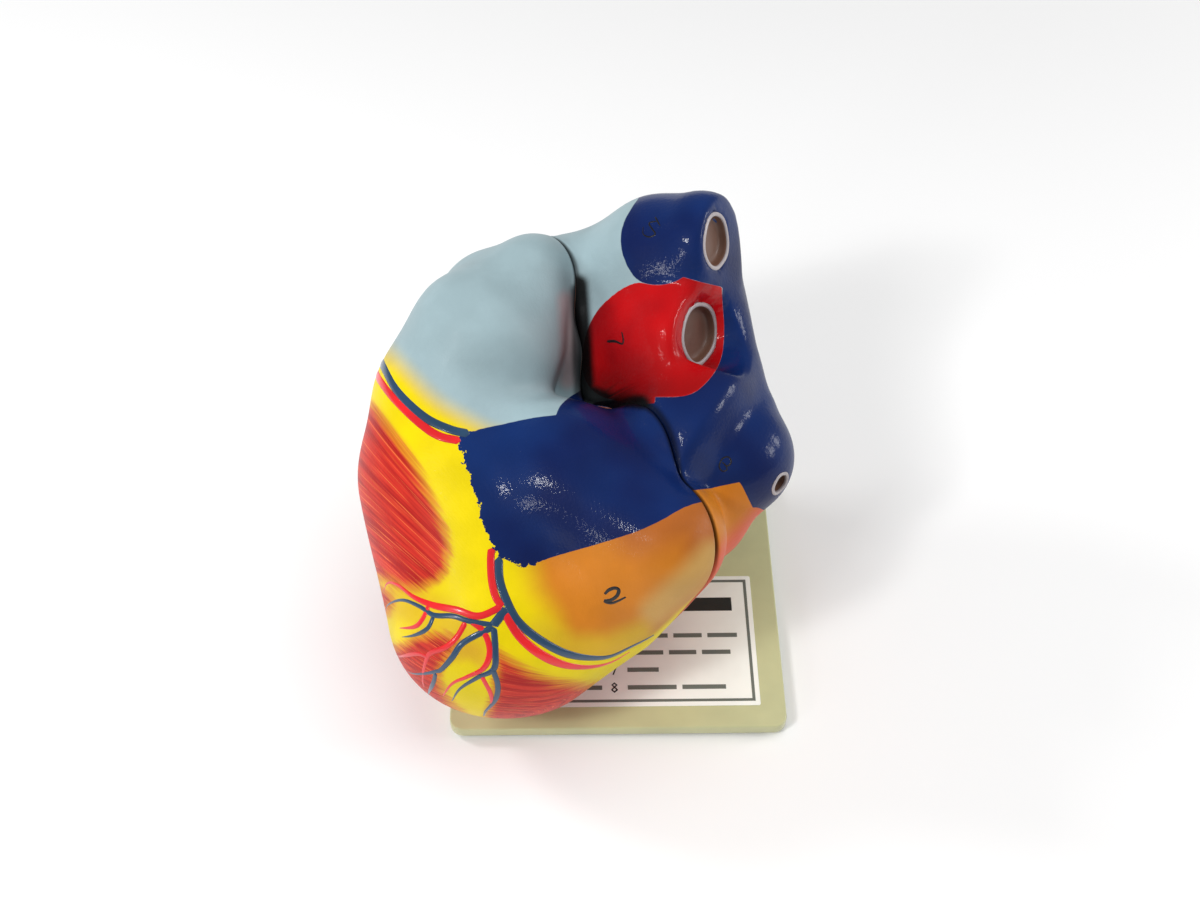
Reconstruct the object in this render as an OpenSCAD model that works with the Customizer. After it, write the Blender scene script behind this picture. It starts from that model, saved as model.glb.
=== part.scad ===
// Two-part heart model on a flat base.
//
// The heart is two hollow moulded halves that part along one plane. The rear half stands on a
// stepped rod and turns on it; the front half pulls straight off three dowel pins and shows
// the chambers and valves.
//
// Base frame: X to the right, Y away from the reader, Z up, bench at Z = 0 under the plate.
// Heart frame: x towards the heart's own left, y towards its back, z up its long axis; the
// parting plane is y = 0. place_heart() carries it onto the base.

/* [Heart] */
// Height of the heart along its own long axis
heart_height = 160; // [150:1:170]
// Wall thickness of the two moulded halves
shell_wall = 5; // [4:0.5:6]
// Gap between the halves at the parting plane
seam_gap = 0.2; // [0.1:0.05:0.4]
// Width of the broken edge along the parting line
seam_edge = 1.2; // [0.8:0.1:1.6]
// Thickness of the flat cut face of each chamber tray
face_t = 4; // [3:0.5:5]
// Wall left around each chamber
chamber_wall = 2.5; // [2:0.25:3]
// Clearance between pieces that are bonded together
bond_gap = 0.2; // [0.1:0.05:0.3]

/* [Vessel mouths] */
// Bore of the upper great vein's mouth
svc_mouth_d = 15; // [12:1:17]
// Bore of the aorta's mouth
aorta_mouth_d = 16; // [12:1:18]
// Bore of the lung artery's mouth
pulmonary_mouth_d = 8; // [6:1:10]
// Bore of the lower great vein's mouth
ivc_mouth_d = 15; // [12:1:17]
// Depth of each mouth, a blind recess
mouth_depth = 3; // [2:0.5:3.5]

/* [Stance] */
// Turn of the heart about its rod, seen from above
heading = -60; // [-90:1:-30]
// Angle by which the parting plane leans back from upright
lean = 20; // [14:1:24]
// Gap between the plate and the lowest lobe of the heart
heart_clear = 10; // [5:0.1:16]
// Distance of the rod behind the heart's origin
rod_back = 14; // [12:0.5:16]

/* [Rod and socket] */
// Diameter of the rod below its shoulder
rod_d = 14; // [12:1:16]
// Diameter of the spigot that the heart turns on
spigot_d = 10; // [8:0.5:11]
// Length of the spigot above the washer
spigot_length = 40; // [34:1:44]
// Depth of the bush's lower end below the heart's origin
seat_drop = 67.5; // [66.5:0.5:68.5]
// Outer diameter of the socket bush
bush_d = 18; // [15:0.5:20]
// Radial running clearance of the bush and washer on the spigot
spigot_clear = 0.05; // [0.03:0.01:0.09]
// Thickness of the thrust washer
washer_t = 1.5; // [1:0.25:2]
// Diameter of the screw that holds the rod
screw_d = 5; // [4:0.5:6]
// Length of that screw below its head
screw_length = 18; // [14:1:20]

/* [Dowels] */
// Diameter of the dowel pins
dowel_d = 5; // [4:0.5:5.5]
// Length of pin that stands out of the rear half
dowel_reach = 8; // [6:0.5:9]
// Depth to which each pin is set in the rear half
dowel_set = 6; // [5:0.5:6.5]
// Wall of the sleeves that receive the pins
sleeve_wall = 1; // [0.8:0.1:1.2]
// Radial sliding clearance of the pins in their sleeves
dowel_clear = 0.08; // [0.05:0.01:0.09]

/* [Base] */
// Width of the plate
plate_w = 126; // [120:1:140]
// Depth of the plate
plate_depth = 140; // [134:1:150]
// Thickness of the plate
plate_t = 5; // [4:0.5:6]
// Radius of the plate's upright corners
plate_corner = 5; // [3:0.5:8]
// Thickness of the felt under the plate
felt_t = 2; // [1:0.25:3]
// Margin between the felt and the plate's edges
felt_inset = 3; // [2:0.5:5]
// Width of the paper key
label_w = 107; // [90:1:110]
// Depth of the paper key
label_depth = 58.5; // [45:1:60]
// Margin between the paper key and the plate's front edge
label_margin = 9; // [6:1:12]
// Thickness of the paper key
label_t = 0.3; // [0.2:0.05:0.5]

/* [Hidden] */

// All places in the heart frame are drawn for this height and scaled from it.
drawn_height = 160;
k = heart_height / drawn_height;

// Lobes of the outer form: each is a round-ended body from one end to the other, given as
// [first end, last end, first radius, last radius, flat], where flat is how far past the last
// end the body is cut square; round_end leaves the end round.
round_end = 99;
LOBES = [
    // right atrium, front
    [[-62, -7, 25], [-49, -33, 10], 12, 24, round_end],
    [[-56, -14, 30], [-40, -21, 10], 11, 14, round_end],
    [[-66, -17, 8], [-43, -41, -14], 20, 28, round_end],
    // right ventricle
    [[-23, -40, -35], [19, -45, -60], 39, 37, round_end],
    // left ventricle, side and middle
    [[32, -15, -41], [29, -34, -62], 29, 29, round_end],
    [[2, -6, -34], [8, 14, -42], 31, 26, round_end],
    // trunk of the lung artery
    [[5, -22, -14], [47, -6, -6], 28, 19, round_end],
    // left atrium, front
    [[38, -8, -22], [33, -14, -33], 24, 20, round_end],
    // right atrium, back
    [[-61, 13, 20], [-42, 30, 40], 17, 20, round_end],
    [[-48, 18, 2], [-35, 21, -18], 21, 25, round_end],
    // upper great vein
    [[-40, 28, 46], [-28, 33, 59], 20, 18, 8],
    // aorta and its root
    [[-31, 21, 14], [-12, 24, 31], 18, 19, 6],
    [[-30, 24, 0], [-10, 28, 0], 19, 19, round_end],
    // lung artery and its ridge behind the aorta
    [[16, 26, 6], [28, 33, 6], 30, 20, round_end],
    [[-30, 42, 36], [14, 42, 17], 16, 9, round_end],
    // left atrium, back
    [[31, 22, -16], [0, 26, -20], 18, 23, round_end],
    // lower great vein
    [[-40, 22, -12], [-38, 38, -26], 20, 17, 7]
];
SVC = LOBES[10];
AORTA = LOBES[11];
PULMONARY = LOBES[13];
IVC = LOBES[16];
// Softness with which neighbouring lobes run together.
lobe_blend = 4;
// Point from which the outer form is measured outwards; it lies on the parting plane.
middle = [-30, 0, -14];
// Start of the inward search, its number of steps, and the share of the distance it takes.
search_from = 125;
search_steps = 20;
search_share = 0.95;
// Rings from the parting plane to the back or front, and points round each ring.
rings = 18;
spokes = 64;

// Chambers: [centre, radius, half length, tilt about y].
RIGHT_ATRIUM = [[-50, 0, 3], 7.5, 12, -45];
RIGHT_VENTRICLE = [[-13.2, -1, -30.9], 9.5, 21, -47];
LEFT_VENTRICLE = [[24.5, 0, -35], 12, 18, -6];
LEFT_ATRIUM = [[28.6, 0, -6.9], 7.5, 14, 84];
CHAMBERS = [RIGHT_ATRIUM, RIGHT_VENTRICLE, LEFT_VENTRICLE, LEFT_ATRIUM];
// Passages between them: [centre, radius, length, tilt about y]. The way out to the lung
// artery is cut in the front half only, the way out to the aorta in the rear half only.
TRICUSPID = [[-35, 0, -13.4], 4.9, 22, -43.5];
MITRAL = [[24.5, 0, -15], 7, 16, 0];
TO_AORTA = [[8.5, 0, -15], 5.5, 22, -45];
TO_LUNGS = [[0, 0, -17], 6, 24, 41];
// Dowels on the cut face, as [x, z].
DOWELS = [[-59.5, 21.5], [42, -24], [8, -51]];

// ---- outer form ----

// Distance from a point to one lobe's surface, negative inside it.
function lobe_distance(p, l) =
    let (span = l[1] - l[0], s2 = span * span,
         t = max(0, min(1, ((p - l[0]) * span) / s2)),
         ease = t * t * (3 - 2 * t))
    max(norm(p - l[0] - t * span) - l[2] - ease * (l[3] - l[2]),
        ((p - l[1]) * span) / sqrt(s2) - l[4]);

function total(v) = v * [for (i = v) 1];

// Distance to the whole form: the lobes' distances run together softly.
function form_distance(p) =
    -lobe_blend * ln(total([for (l = LOBES) exp(-lobe_distance(p, l) / lobe_blend)]));

// Radius of the form along direction d, found by walking inwards.
function form_radius(d, r = search_from, n = search_steps) =
    n == 0 ? r : form_radius(d, r - search_share * form_distance(middle + d * r), n - 1);

// Directions on one half: side is +1 for the back and -1 for the front.
function direction(side, i, j) =
    let (up = 90 * i / rings, round = 360 * j / spokes)
    [cos(up) * cos(round), side * sin(up), cos(up) * sin(round)];

function outer_radii(side) =
    [for (i = [0:rings - 1]) [for (j = [0:spokes - 1]) k * form_radius(direction(side, i, j))]];

// Inner radius: the least of the neighbouring outer radii, less the wall.
function inner_radius(radii, i, j) =
    min(radii[i][j], radii[i][(j + 1) % spokes], radii[i][(j + spokes - 1) % spokes],
        radii[min(i + 1, rings - 1)][j], radii[max(i - 1, 0)][j]) - shell_wall;

// One hollow half as a closed solid: outside, broken edge, flat rim and inside.
module half_shell(side) {
    radii = outer_radii(side);
    pole_r = k * form_radius([0, side, 0]);
    inner_pole_r = min(concat([pole_r], radii[rings - 1])) - shell_wall;
    shift = [0, side * seam_gap / 2, 0];
    hub = k * middle + shift;
    function at(i, j, r) = hub + direction(side, i, j) * r;
    points = concat(
        [for (j = [0:spokes - 1]) at(0, j, radii[0][j] - seam_edge)],
        [for (j = [0:spokes - 1]) at(0, j, radii[0][j]) + [0, side * seam_edge, 0]],
        [for (i = [1:rings - 1]) for (j = [0:spokes - 1]) at(i, j, radii[i][j])],
        [for (i = [rings - 1:-1:0]) for (j = [0:spokes - 1]) at(i, j, inner_radius(radii, i, j))],
        [hub + [0, side * pole_r, 0], hub + [0, side * inner_pole_r, 0]]);
    // The rows run out over the outside to the pole, and back along the inside to the rim.
    outer_rows = rings + 1;
    all_rows = outer_rows + rings;
    pole = all_rows * spokes;
    function id(row, j) = (row % all_rows) * spokes + j % spokes;
    function turned(f) = side < 0 ? f : [for (n = [len(f) - 1:-1:0]) f[n]];
    bands = [for (row = [0:all_rows - 1]) if (row != outer_rows - 1) row];
    faces = concat(
        [for (row = bands) for (j = [0:spokes - 1])
            turned([id(row, j), id(row + 1, j), id(row + 1, j + 1)])],
        [for (row = bands) for (j = [0:spokes - 1])
            turned([id(row, j), id(row + 1, j + 1), id(row, j + 1)])],
        [for (j = [0:spokes - 1])
            turned([id(outer_rows - 1, j), pole, id(outer_rows - 1, j + 1)])],
        [for (j = [0:spokes - 1])
            turned([id(outer_rows, j), id(outer_rows, j + 1), pole + 1])]);
    polyhedron(points = points, faces = faces, convexity = 8);
}

// ---- frames and shared shapes ----

module place_heart() {
    translate([0, 0, heart_lift]) rotate([-lean, 0, heading]) children();
}

// Reach of the lowest lobe below the heart's origin, and the origin's height above the bench.
function below(l) = let (e = l[1]) e[1] * sin(lean) - e[2] * cos(lean) + l[3];
heart_drop = k * max([for (l = LOBES) below(l)]);
rod_xy = rod_back * [-sin(heading), cos(heading)];
plate_top = felt_t + plate_t;
heart_lift = plate_top + heart_clear + heart_drop;
bush_z = heart_lift - k * seat_drop;
shoulder_z = bush_z - washer_t;
shoulder_h = shoulder_z - plate_top;
bush_top_wall = 4;
bush_length = spigot_length + bush_top_wall;
bush_r = bush_d / 2;
// Room round the washer and rod where they pass the shell's underside.
collar_room = 1;

module on_rod() {
    translate([rod_xy[0], rod_xy[1], 0]) children();
}

// Carries shapes drawn in the base frame back into the heart frame.
module from_base() {
    rotate([lean, 0, 0]) rotate([0, 0, -heading]) translate([0, 0, -heart_lift]) children();
}

// Turns the z axis onto direction d.
module aim(d) {
    u = d / norm(d);
    rotate([0, acos(u[2]), atan2(u[1], u[0])]) children();
}

function unit(v) = v / norm(v);
function lobe_end(l) = k * (l[1] + unit(l[1] - l[0]) * l[4]);
// The small artery's mouth sits on the side of its round end.
pulmonary_aim = unit([0.96, 0.21, 0.2]);
MOUTHS = [
    [lobe_end(SVC), SVC[1] - SVC[0], svc_mouth_d],
    [lobe_end(AORTA), AORTA[1] - AORTA[0], aorta_mouth_d],
    [k * (PULMONARY[1] + pulmonary_aim * PULMONARY[3]), pulmonary_aim, pulmonary_mouth_d],
    [lobe_end(IVC), IVC[1] - IVC[0], ivc_mouth_d]
];
mouth_out = 6;

module mouth_recesses() {
    for (m = MOUTHS) translate(m[0]) aim(m[1]) translate([0, 0, -mouth_depth])
        cylinder(h = mouth_depth + mouth_out, d = m[2], $fn = 48);
}

// A chamber, or the lump around it when grown by a wall.
module chamber_form(c, grow = 0) {
    arc_step = 22.5;
    translate(k * c[0]) rotate([0, c[3], 0]) rotate_extrude($fn = 48)
        polygon([for (a = [-90:arc_step:90])
            [(k * c[1] + grow) * cos(a) * (abs(a) == 90 ? 0 : 1), (k * c[2] + grow) * sin(a)]]);
}

module passage(o, grow = 0) {
    translate(k * o[0]) rotate([0, o[3], 0])
        cylinder(h = k * o[2], r = k * o[1] + grow, center = true, $fn = 48);
}

// Outline of the cut face inside one shell: as wide as the wall allows over the face's depth.
module face_outline(side) {
    radii = outer_radii(side);
    function reach(j) = min([for (i = [0:rings - 1])
        let (r = inner_radius(radii, i, j), up = 90 * i / rings,
             before = i == 0 ? 0 : inner_radius(radii, i - 1, j) * sin(90 * (i - 1) / rings))
        if (before < 1.5 * face_t) r * cos(up)]) - bond_gap;
    polygon([for (j = [0:spokes - 1])
        let (round = 360 * j / spokes)
        k * [middle[0], middle[2]] + reach(j) * [cos(round), sin(round)]]);
}

// Keeps only what lies behind the parting plane (side +1) or in front of it (side -1).
half_room = 200;
module half_space(side) {
    translate([-half_room, side > 0 ? seam_gap / 2 : -seam_gap / 2 - half_room, -half_room])
        cube([2 * half_room, half_room, 2 * half_room]);
}

module at_dowels() {
    for (p = DOWELS) translate([k * p[0], 0, k * p[1]]) rotate([-90, 0, 0]) children();
}

dowel_r = dowel_d / 2;
sleeve_r = dowel_r + dowel_clear + sleeve_wall;
// Room past a pin's tip in its sleeve, and past the sleeve in its pocket.
sleeve_room = 1;
pocket_room = 1;
sleeve_length = dowel_reach + sleeve_room;
boss_wall = 1.6;
// How far a cut runs past what it cuts.
over = 1;

// ---- rear half ----

module rear_shell() {
    color([0.60, 0.71, 0.73]) place_heart() difference() {
        half_shell(1);
        mouth_recesses();
        from_base() on_rod()
            {
                translate([0, 0, bush_z - 1])
                    cylinder(h = bush_length, r = bush_r + bond_gap, $fn = 64);
                translate([0, 0, plate_top])
                    cylinder(h = bush_z - plate_top, r = bush_r + collar_room, $fn = 64);
            }
    }
}

module chamber_tray(side, passages, pocket_r, pocket_depth) {
    difference() {
        union() {
            translate([0, side > 0 ? face_t + seam_gap / 2 : -seam_gap / 2, 0])
                rotate([90, 0, 0]) linear_extrude(face_t) face_outline(side);
            intersection() {
                union() {
                    for (c = CHAMBERS) chamber_form(c, chamber_wall);
                    for (o = passages) passage(o, chamber_wall);
                    at_dowels() cylinder(h = 2 * (pocket_depth + boss_wall),
                        r = pocket_r + boss_wall, center = true, $fn = 48);
                }
                half_space(side);
            }
        }
        for (c = CHAMBERS) chamber_form(c);
        for (o = passages) passage(o);
        at_dowels() cylinder(h = 2 * pocket_depth, r = pocket_r, center = true, $fn = 48);
    }
}

module rear_chambers() {
    color([0.86, 0.45, 0.36]) place_heart()
        chamber_tray(1, [TRICUSPID, MITRAL, TO_AORTA], dowel_r + bond_gap / 4, dowel_set + seam_gap / 2);
}

module dowel_pins() {
    tip = 1;
    color("silver") place_heart() at_dowels() {
        translate([0, 0, -dowel_reach + tip])
            cylinder(h = dowel_reach - tip + dowel_set, r = dowel_r, $fn = 48);
        translate([0, 0, -dowel_reach]) cylinder(h = tip, r1 = dowel_r - tip, r2 = dowel_r, $fn = 48);
    }
}

module socket_bush() {
    color([0.88, 0.87, 0.82]) on_rod() translate([0, 0, bush_z]) difference() {
        cylinder(h = bush_length, r = bush_r, $fn = 64);
        translate([0, 0, -1])
            cylinder(h = spigot_length + 1.5, r = spigot_d / 2 + spigot_clear, $fn = 64);
    }
}

// Leaflets of a valve: parts of a thin funnel set in a passage. It narrows to the share
// `narrow` over `drop` towards -z of the passage, or towards +z where `drop` is negative;
// spans lists [start, sweep] of each leaflet round the passage.
leaflet_t = 0.8;
module leaflets(o, drop, narrow, spans) {
    r = k * o[1] - bond_gap;
    translate(k * o[0]) rotate([0, o[3], 0]) for (s = spans) rotate([0, 0, s[0]])
        rotate_extrude(angle = s[1], $fn = 96)
            polygon([[r - leaflet_t, 0], [r, 0], [r * narrow, -drop],
                     [r * narrow - leaflet_t, -drop]]);
}

inlet_drop = 9;
inlet_narrow = 0.55;
outlet_rise = -4;
outlet_narrow = 0.5;
// Start and sweep of each leaflet, behind the parting plane and in front of it.
REAR_PAIR = [[8, 78], [94, 78]];
FRONT_PAIR = [[188, 78], [274, 78]];
FRONT_ONE = [[190, 160]];

module rear_tricuspid_leaflets() {
    color([0.93, 0.84, 0.72]) place_heart()
        leaflets(TRICUSPID, inlet_drop, inlet_narrow, REAR_PAIR);
}

module rear_mitral_leaflets() {
    color([0.93, 0.84, 0.72]) place_heart()
        leaflets(MITRAL, inlet_drop, inlet_narrow, REAR_PAIR);
}

module aortic_valve() {
    color([0.93, 0.84, 0.72]) place_heart()
        leaflets(TO_AORTA, outlet_rise, outlet_narrow, REAR_PAIR);
}

// Papillary muscles, as [chamber, foot, tip, valve, angles of the cords' ends on its edge].
REAR_PAPILLARY = [
    [LEFT_VENTRICLE, [33, 7, -47], [29, 3.5, -33], MITRAL, [20, 50, 80]],
    [LEFT_VENTRICLE, [19, 8, -46], [21, 3.5, -33], MITRAL, [100, 130, 160]],
    [RIGHT_VENTRICLE, [-5, 4.5, -40], [-15, 2.4, -32], TRICUSPID, [20, 60, 100, 140]]
];
FRONT_PAPILLARY = [
    [LEFT_VENTRICLE, [26, -10, -43], [25, -4, -32], MITRAL, [210, 250, 290, 330]],
    [RIGHT_VENTRICLE, [-8, -10.5, -39], [-15, -4, -31], TRICUSPID, [210, 245, 280, 320]]
];
papillary_foot_r = 3;
papillary_tip_r = 1.4;
papillary_seat = 0.05;
cord_r = 0.4;
cord_end_gap = 0.1;

// Lays a cone from a to b.
module cone_between(a, b, ra, rb, fn) {
    translate(a) aim(b - a) cylinder(h = norm(b - a), r1 = ra, r2 = rb, $fn = fn);
}

module papillary_muscles(list) {
    for (p = list) intersection() {
        chamber_form(p[0], -papillary_seat);
        let (run = unit(p[2] - p[1]), foot = p[1] - run * 2 * papillary_foot_r)
            cone_between(k * foot, k * p[2], papillary_foot_r, papillary_tip_r, 32);
    }
}

// A point under the free edge of a valve's leaflets.
function edge_point(o, a) =
    let (r = k * o[1] * inlet_narrow - leaflet_t,
         down = -inlet_drop - cord_r - cord_end_gap,
         x = r * cos(a), t = o[3])
    k * o[0] + [x * cos(t) + down * sin(t), r * sin(a), -x * sin(t) + down * cos(t)];

// Each cord runs from its own place on the muscle's tip to its place under the valve.
module chordae(list) {
    for (p = list) for (a = p[4])
        let (out = unit(p[2] - p[1]), over = cord_r + cord_end_gap,
             side = [cos(a), sin(a), 0] - ([cos(a), sin(a), 0] * out) * out)
            cone_between(k * p[2] + over * out + papillary_tip_r * unit(side),
                edge_point(p[3], a), cord_r, cord_r, 16);
}

module rear_papillary_muscles() {
    color([0.80, 0.36, 0.30]) place_heart() papillary_muscles(REAR_PAPILLARY);
}

module rear_chordae() {
    color([0.95, 0.90, 0.80]) place_heart() chordae(REAR_PAPILLARY);
}

// ---- front half ----

module front_shell() {
    color([0.75, 0.25, 0.18]) place_heart() half_shell(-1);
}

module front_chambers() {
    color([0.86, 0.45, 0.36]) place_heart()
        chamber_tray(-1, [TRICUSPID, MITRAL, TO_LUNGS], sleeve_r + bond_gap / 4,
            sleeve_length + pocket_room);
}

module front_tricuspid_leaflet() {
    color([0.93, 0.84, 0.72]) place_heart()
        leaflets(TRICUSPID, inlet_drop, inlet_narrow, FRONT_ONE);
}

module front_mitral_leaflet() {
    color([0.93, 0.84, 0.72]) place_heart()
        leaflets(MITRAL, inlet_drop, inlet_narrow, FRONT_ONE);
}

module pulmonary_valve() {
    color([0.93, 0.84, 0.72]) place_heart()
        leaflets(TO_LUNGS, outlet_rise, outlet_narrow, FRONT_PAIR);
}

module front_papillary_muscles() {
    color([0.80, 0.36, 0.30]) place_heart() papillary_muscles(FRONT_PAPILLARY);
}

module front_chordae() {
    color([0.95, 0.90, 0.80]) place_heart() chordae(FRONT_PAPILLARY);
}

module dowel_sleeves() {
    color("darkgoldenrod") place_heart() at_dowels()
        translate([0, 0, -sleeve_length]) difference() {
            cylinder(h = sleeve_length - seam_gap / 2, r = sleeve_r, $fn = 48);
            translate([0, 0, -over])
                cylinder(h = sleeve_length + 2 * over, r = dowel_r + dowel_clear, $fn = 48);
        }
}

// ---- base ----

module rounded_plate(w, d, r) {
    square([w - 2 * r, d], center = true);
    square([w, d - 2 * r], center = true);
    for (x = [-1, 1]) for (y = [-1, 1])
        translate([x * (w / 2 - r), y * (d / 2 - r)]) circle(r, $fn = 64);
}

head_h = screw_d / 2;
head_clear = 0.1;
module base_plate() {
    color([0.70, 0.69, 0.49]) difference() {
        translate([0, 0, felt_t]) linear_extrude(plate_t)
            rounded_plate(plate_w, plate_depth, plate_corner);
        on_rod() {
            cylinder(h = plate_top + 1, r = screw_d / 2 + 2 * head_clear, $fn = 48);
            translate([0, 0, felt_t - 0.01])
                cylinder(h = head_h, r1 = screw_d + head_clear, r2 = screw_d / 2 + 2 * head_clear, $fn = 48);
        }
    }
}

module key_label() {
    color([0.96, 0.97, 0.94])
        translate([-label_w / 2, -plate_depth / 2 + label_margin, plate_top])
            cube([label_w, label_depth, label_t]);
}

module base_felt() {
    color([0.16, 0.22, 0.18]) linear_extrude(felt_t)
        rounded_plate(plate_w - 2 * felt_inset, plate_depth - 2 * felt_inset, plate_corner);
}

module post() {
    color("silver") on_rod() difference() {
        union() {
            translate([0, 0, plate_top]) cylinder(h = shoulder_h, d = rod_d, $fn = 64);
            translate([0, 0, shoulder_z])
                cylinder(h = washer_t + spigot_length - 1, d = spigot_d, $fn = 64);
            translate([0, 0, bush_z + spigot_length - 1])
                cylinder(h = 1, d1 = spigot_d, d2 = spigot_d - 2, $fn = 64);
        }
        translate([0, 0, plate_top - 1])
            cylinder(h = screw_length, r = screw_d / 2 + 0.05, $fn = 48);
    }
}

module post_screw() {
    color("dimgray") on_rod() translate([0, 0, felt_t]) {
        cylinder(h = head_h, r1 = screw_d, r2 = screw_d / 2, $fn = 48);
        translate([0, 0, head_h]) cylinder(h = screw_length - head_h, d = screw_d, $fn = 48);
    }
}

module thrust_washer() {
    color([0.93, 0.93, 0.90]) on_rod() translate([0, 0, shoulder_z]) difference() {
        cylinder(h = washer_t, r = bush_r, $fn = 64);
        translate([0, 0, -1]) cylinder(h = washer_t + 2, r = spigot_d / 2 + spigot_clear, $fn = 64);
    }
}

base_plate();
key_label();
base_felt();
post();
post_screw();
thrust_washer();
socket_bush();
rear_shell();
rear_chambers();
dowel_pins();
rear_tricuspid_leaflets();
rear_mitral_leaflets();
aortic_valve();
rear_papillary_muscles();
rear_chordae();
front_shell();
front_chambers();
dowel_sleeves();
front_tricuspid_leaflet();
front_mitral_leaflet();
pulmonary_valve();
front_papillary_muscles();
front_chordae();
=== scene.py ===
# Two-part heart model on its base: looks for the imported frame.
# Lengths are in millimetres inside the script and become metres when a mesh is made.
import math

import bpy
import numpy as np
from mathutils import Matrix


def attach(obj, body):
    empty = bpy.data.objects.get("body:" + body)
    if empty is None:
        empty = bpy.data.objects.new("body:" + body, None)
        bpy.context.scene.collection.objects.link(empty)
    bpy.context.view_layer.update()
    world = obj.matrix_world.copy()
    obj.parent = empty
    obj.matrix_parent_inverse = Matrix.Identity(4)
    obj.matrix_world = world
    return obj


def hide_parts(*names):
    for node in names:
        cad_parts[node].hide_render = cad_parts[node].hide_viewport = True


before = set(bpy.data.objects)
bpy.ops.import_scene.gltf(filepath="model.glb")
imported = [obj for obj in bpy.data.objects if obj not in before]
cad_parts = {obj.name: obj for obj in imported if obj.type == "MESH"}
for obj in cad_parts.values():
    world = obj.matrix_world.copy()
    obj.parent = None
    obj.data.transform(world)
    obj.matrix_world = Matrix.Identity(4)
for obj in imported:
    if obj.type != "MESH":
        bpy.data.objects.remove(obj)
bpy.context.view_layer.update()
mm = 0.001


# ---------- where things are ----------

# The heart's own frame: x to its left, y to its back, z up its long axis; parting plane y = 0.
stance = {"heading": -60.0, "lean": 20.0, "lift": 94.991, "gap": 0.2}

# The photograph's camera, from the outlines of the plate and the key.
view = {"position": (-9.16, -342.65, 503.31), "pitch": 51.0, "yaw": -0.52, "roll": -0.13,
        "focal": 1500.0, "width": 1200.0, "height": 916.0, "sensor": 36.0}


def heartAxes(s=stance):
    # rows are the heart's x, y and z axes in the base frame
    h, t = np.radians(s["heading"]), np.radians(s["lean"])
    xAxis = np.array([np.cos(h), np.sin(h), 0.0])
    ahead = np.array([-np.sin(h), np.cos(h), 0.0])
    up = np.array([0.0, 0.0, 1.0])
    return np.stack([xAxis, ahead * np.cos(t) - up * np.sin(t), ahead * np.sin(t) + up * np.cos(t)])


axes = heartAxes()
heartAt = np.array([0.0, 0.0, stance["lift"]])


def toBase(q):
    # heart frame to base frame
    return q @ axes + heartAt


def toHeart(p):
    return (p - heartAt) @ axes.T


def cameraAxes(v=view):
    # forward, up and right of the camera: pitch down, then yaw about Z, then roll
    t, y, r = np.radians([v["pitch"], v["yaw"], v["roll"]])
    turn = np.array([[np.cos(y), -np.sin(y), 0], [np.sin(y), np.cos(y), 0], [0, 0, 1]])
    ahead = turn @ np.array([0, np.cos(t), -np.sin(t)])
    up = turn @ np.array([0, np.sin(t), np.cos(t)])
    right = turn @ np.array([1.0, 0, 0])
    return ahead, np.cos(r) * up - np.sin(r) * right, np.cos(r) * right + np.sin(r) * up


camAhead, camUp, camRight = cameraAxes()
camAt = np.array(view["position"])


def photoPixel(q):
    # heart-frame points to photograph pixels: focal length times sideways over forward distance
    p = toBase(q) - camAt
    depth = p @ camAhead
    return np.stack([view["width"] / 2 + view["focal"] * (p @ camRight) / depth,
                     view["height"] / 2 - view["focal"] * (p @ camUp) / depth], -1)


# ---------- the outer form ----------

# Lobes: first end, last end, first radius, last radius, and how far past the last end
# the lobe is cut square (0 leaves it round). The same lobes as in the construction.
lobes = {
    "rightAtriumFront": ((-62, -7, 25), (-49, -33, 10), 12, 24, 0),
    "rightAtriumLow": ((-56, -14, 30), (-40, -21, 10), 11, 14, 0),
    "rightAtriumEdge": ((-66, -17, 8), (-43, -41, -14), 20, 28, 0),
    "rightVentricle": ((-23, -40, -35), (19, -45, -60), 39, 37, 0),
    "leftVentricle": ((32, -15, -41), (29, -34, -62), 29, 29, 0),
    "septum": ((2, -6, -34), (8, 14, -42), 31, 26, 0),
    "lungTrunk": ((5, -22, -14), (47, -6, -6), 28, 19, 0),
    "leftAtriumFront": ((38, -8, -22), (33, -14, -33), 24, 20, 0),
    "rightAtriumRear": ((-61, 13, 20), (-42, 30, 40), 17, 20, 0),
    "rightAtriumDeep": ((-48, 18, 2), (-35, 21, -18), 21, 25, 0),
    "upperVein": ((-40, 28, 46), (-28, 33, 59), 20, 18, 8),
    "aorta": ((-31, 21, 14), (-12, 24, 31), 18, 19, 6),
    "aortaRoot": ((-30, 24, 0), (-10, 28, 0), 19, 19, 0),
    "lungArtery": ((16, 26, 6), (28, 33, 6), 30, 20, 0),
    "lungArteryRidge": ((-30, 42, 36), (14, 42, 17), 16, 9, 0),
    "leftAtriumRear": ((31, 22, -16), (0, 26, -20), 18, 23, 0),
    "lowerVein": ((-40, 22, -12), (-38, 38, -26), 20, 17, 7),
}
form = {"blend": 4.0, "cutSoftness": 0.9, "spineFrom": (-50.0, 0.0, 4.0), "spineTo": (10.0, 0.0, -34.0),
        "searchFrom": 135.0, "searchSteps": 46, "searchShare": 0.9}


# The two great vessels on top end in facets turned a little aside from their lobes' run.
facets = {"upperVein": {"way": (0.78, 0.43, 0.46), "reach": 7.4}, "aorta": {"way": (0.81, 0.31, 0.49), "reach": 7.6}}
spotFaces = [{"on": "aorta", "at": (-5.7, 26.1, 36.3), "low": 0.0, "radius": 12.6, "soft": 0.8}]


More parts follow.
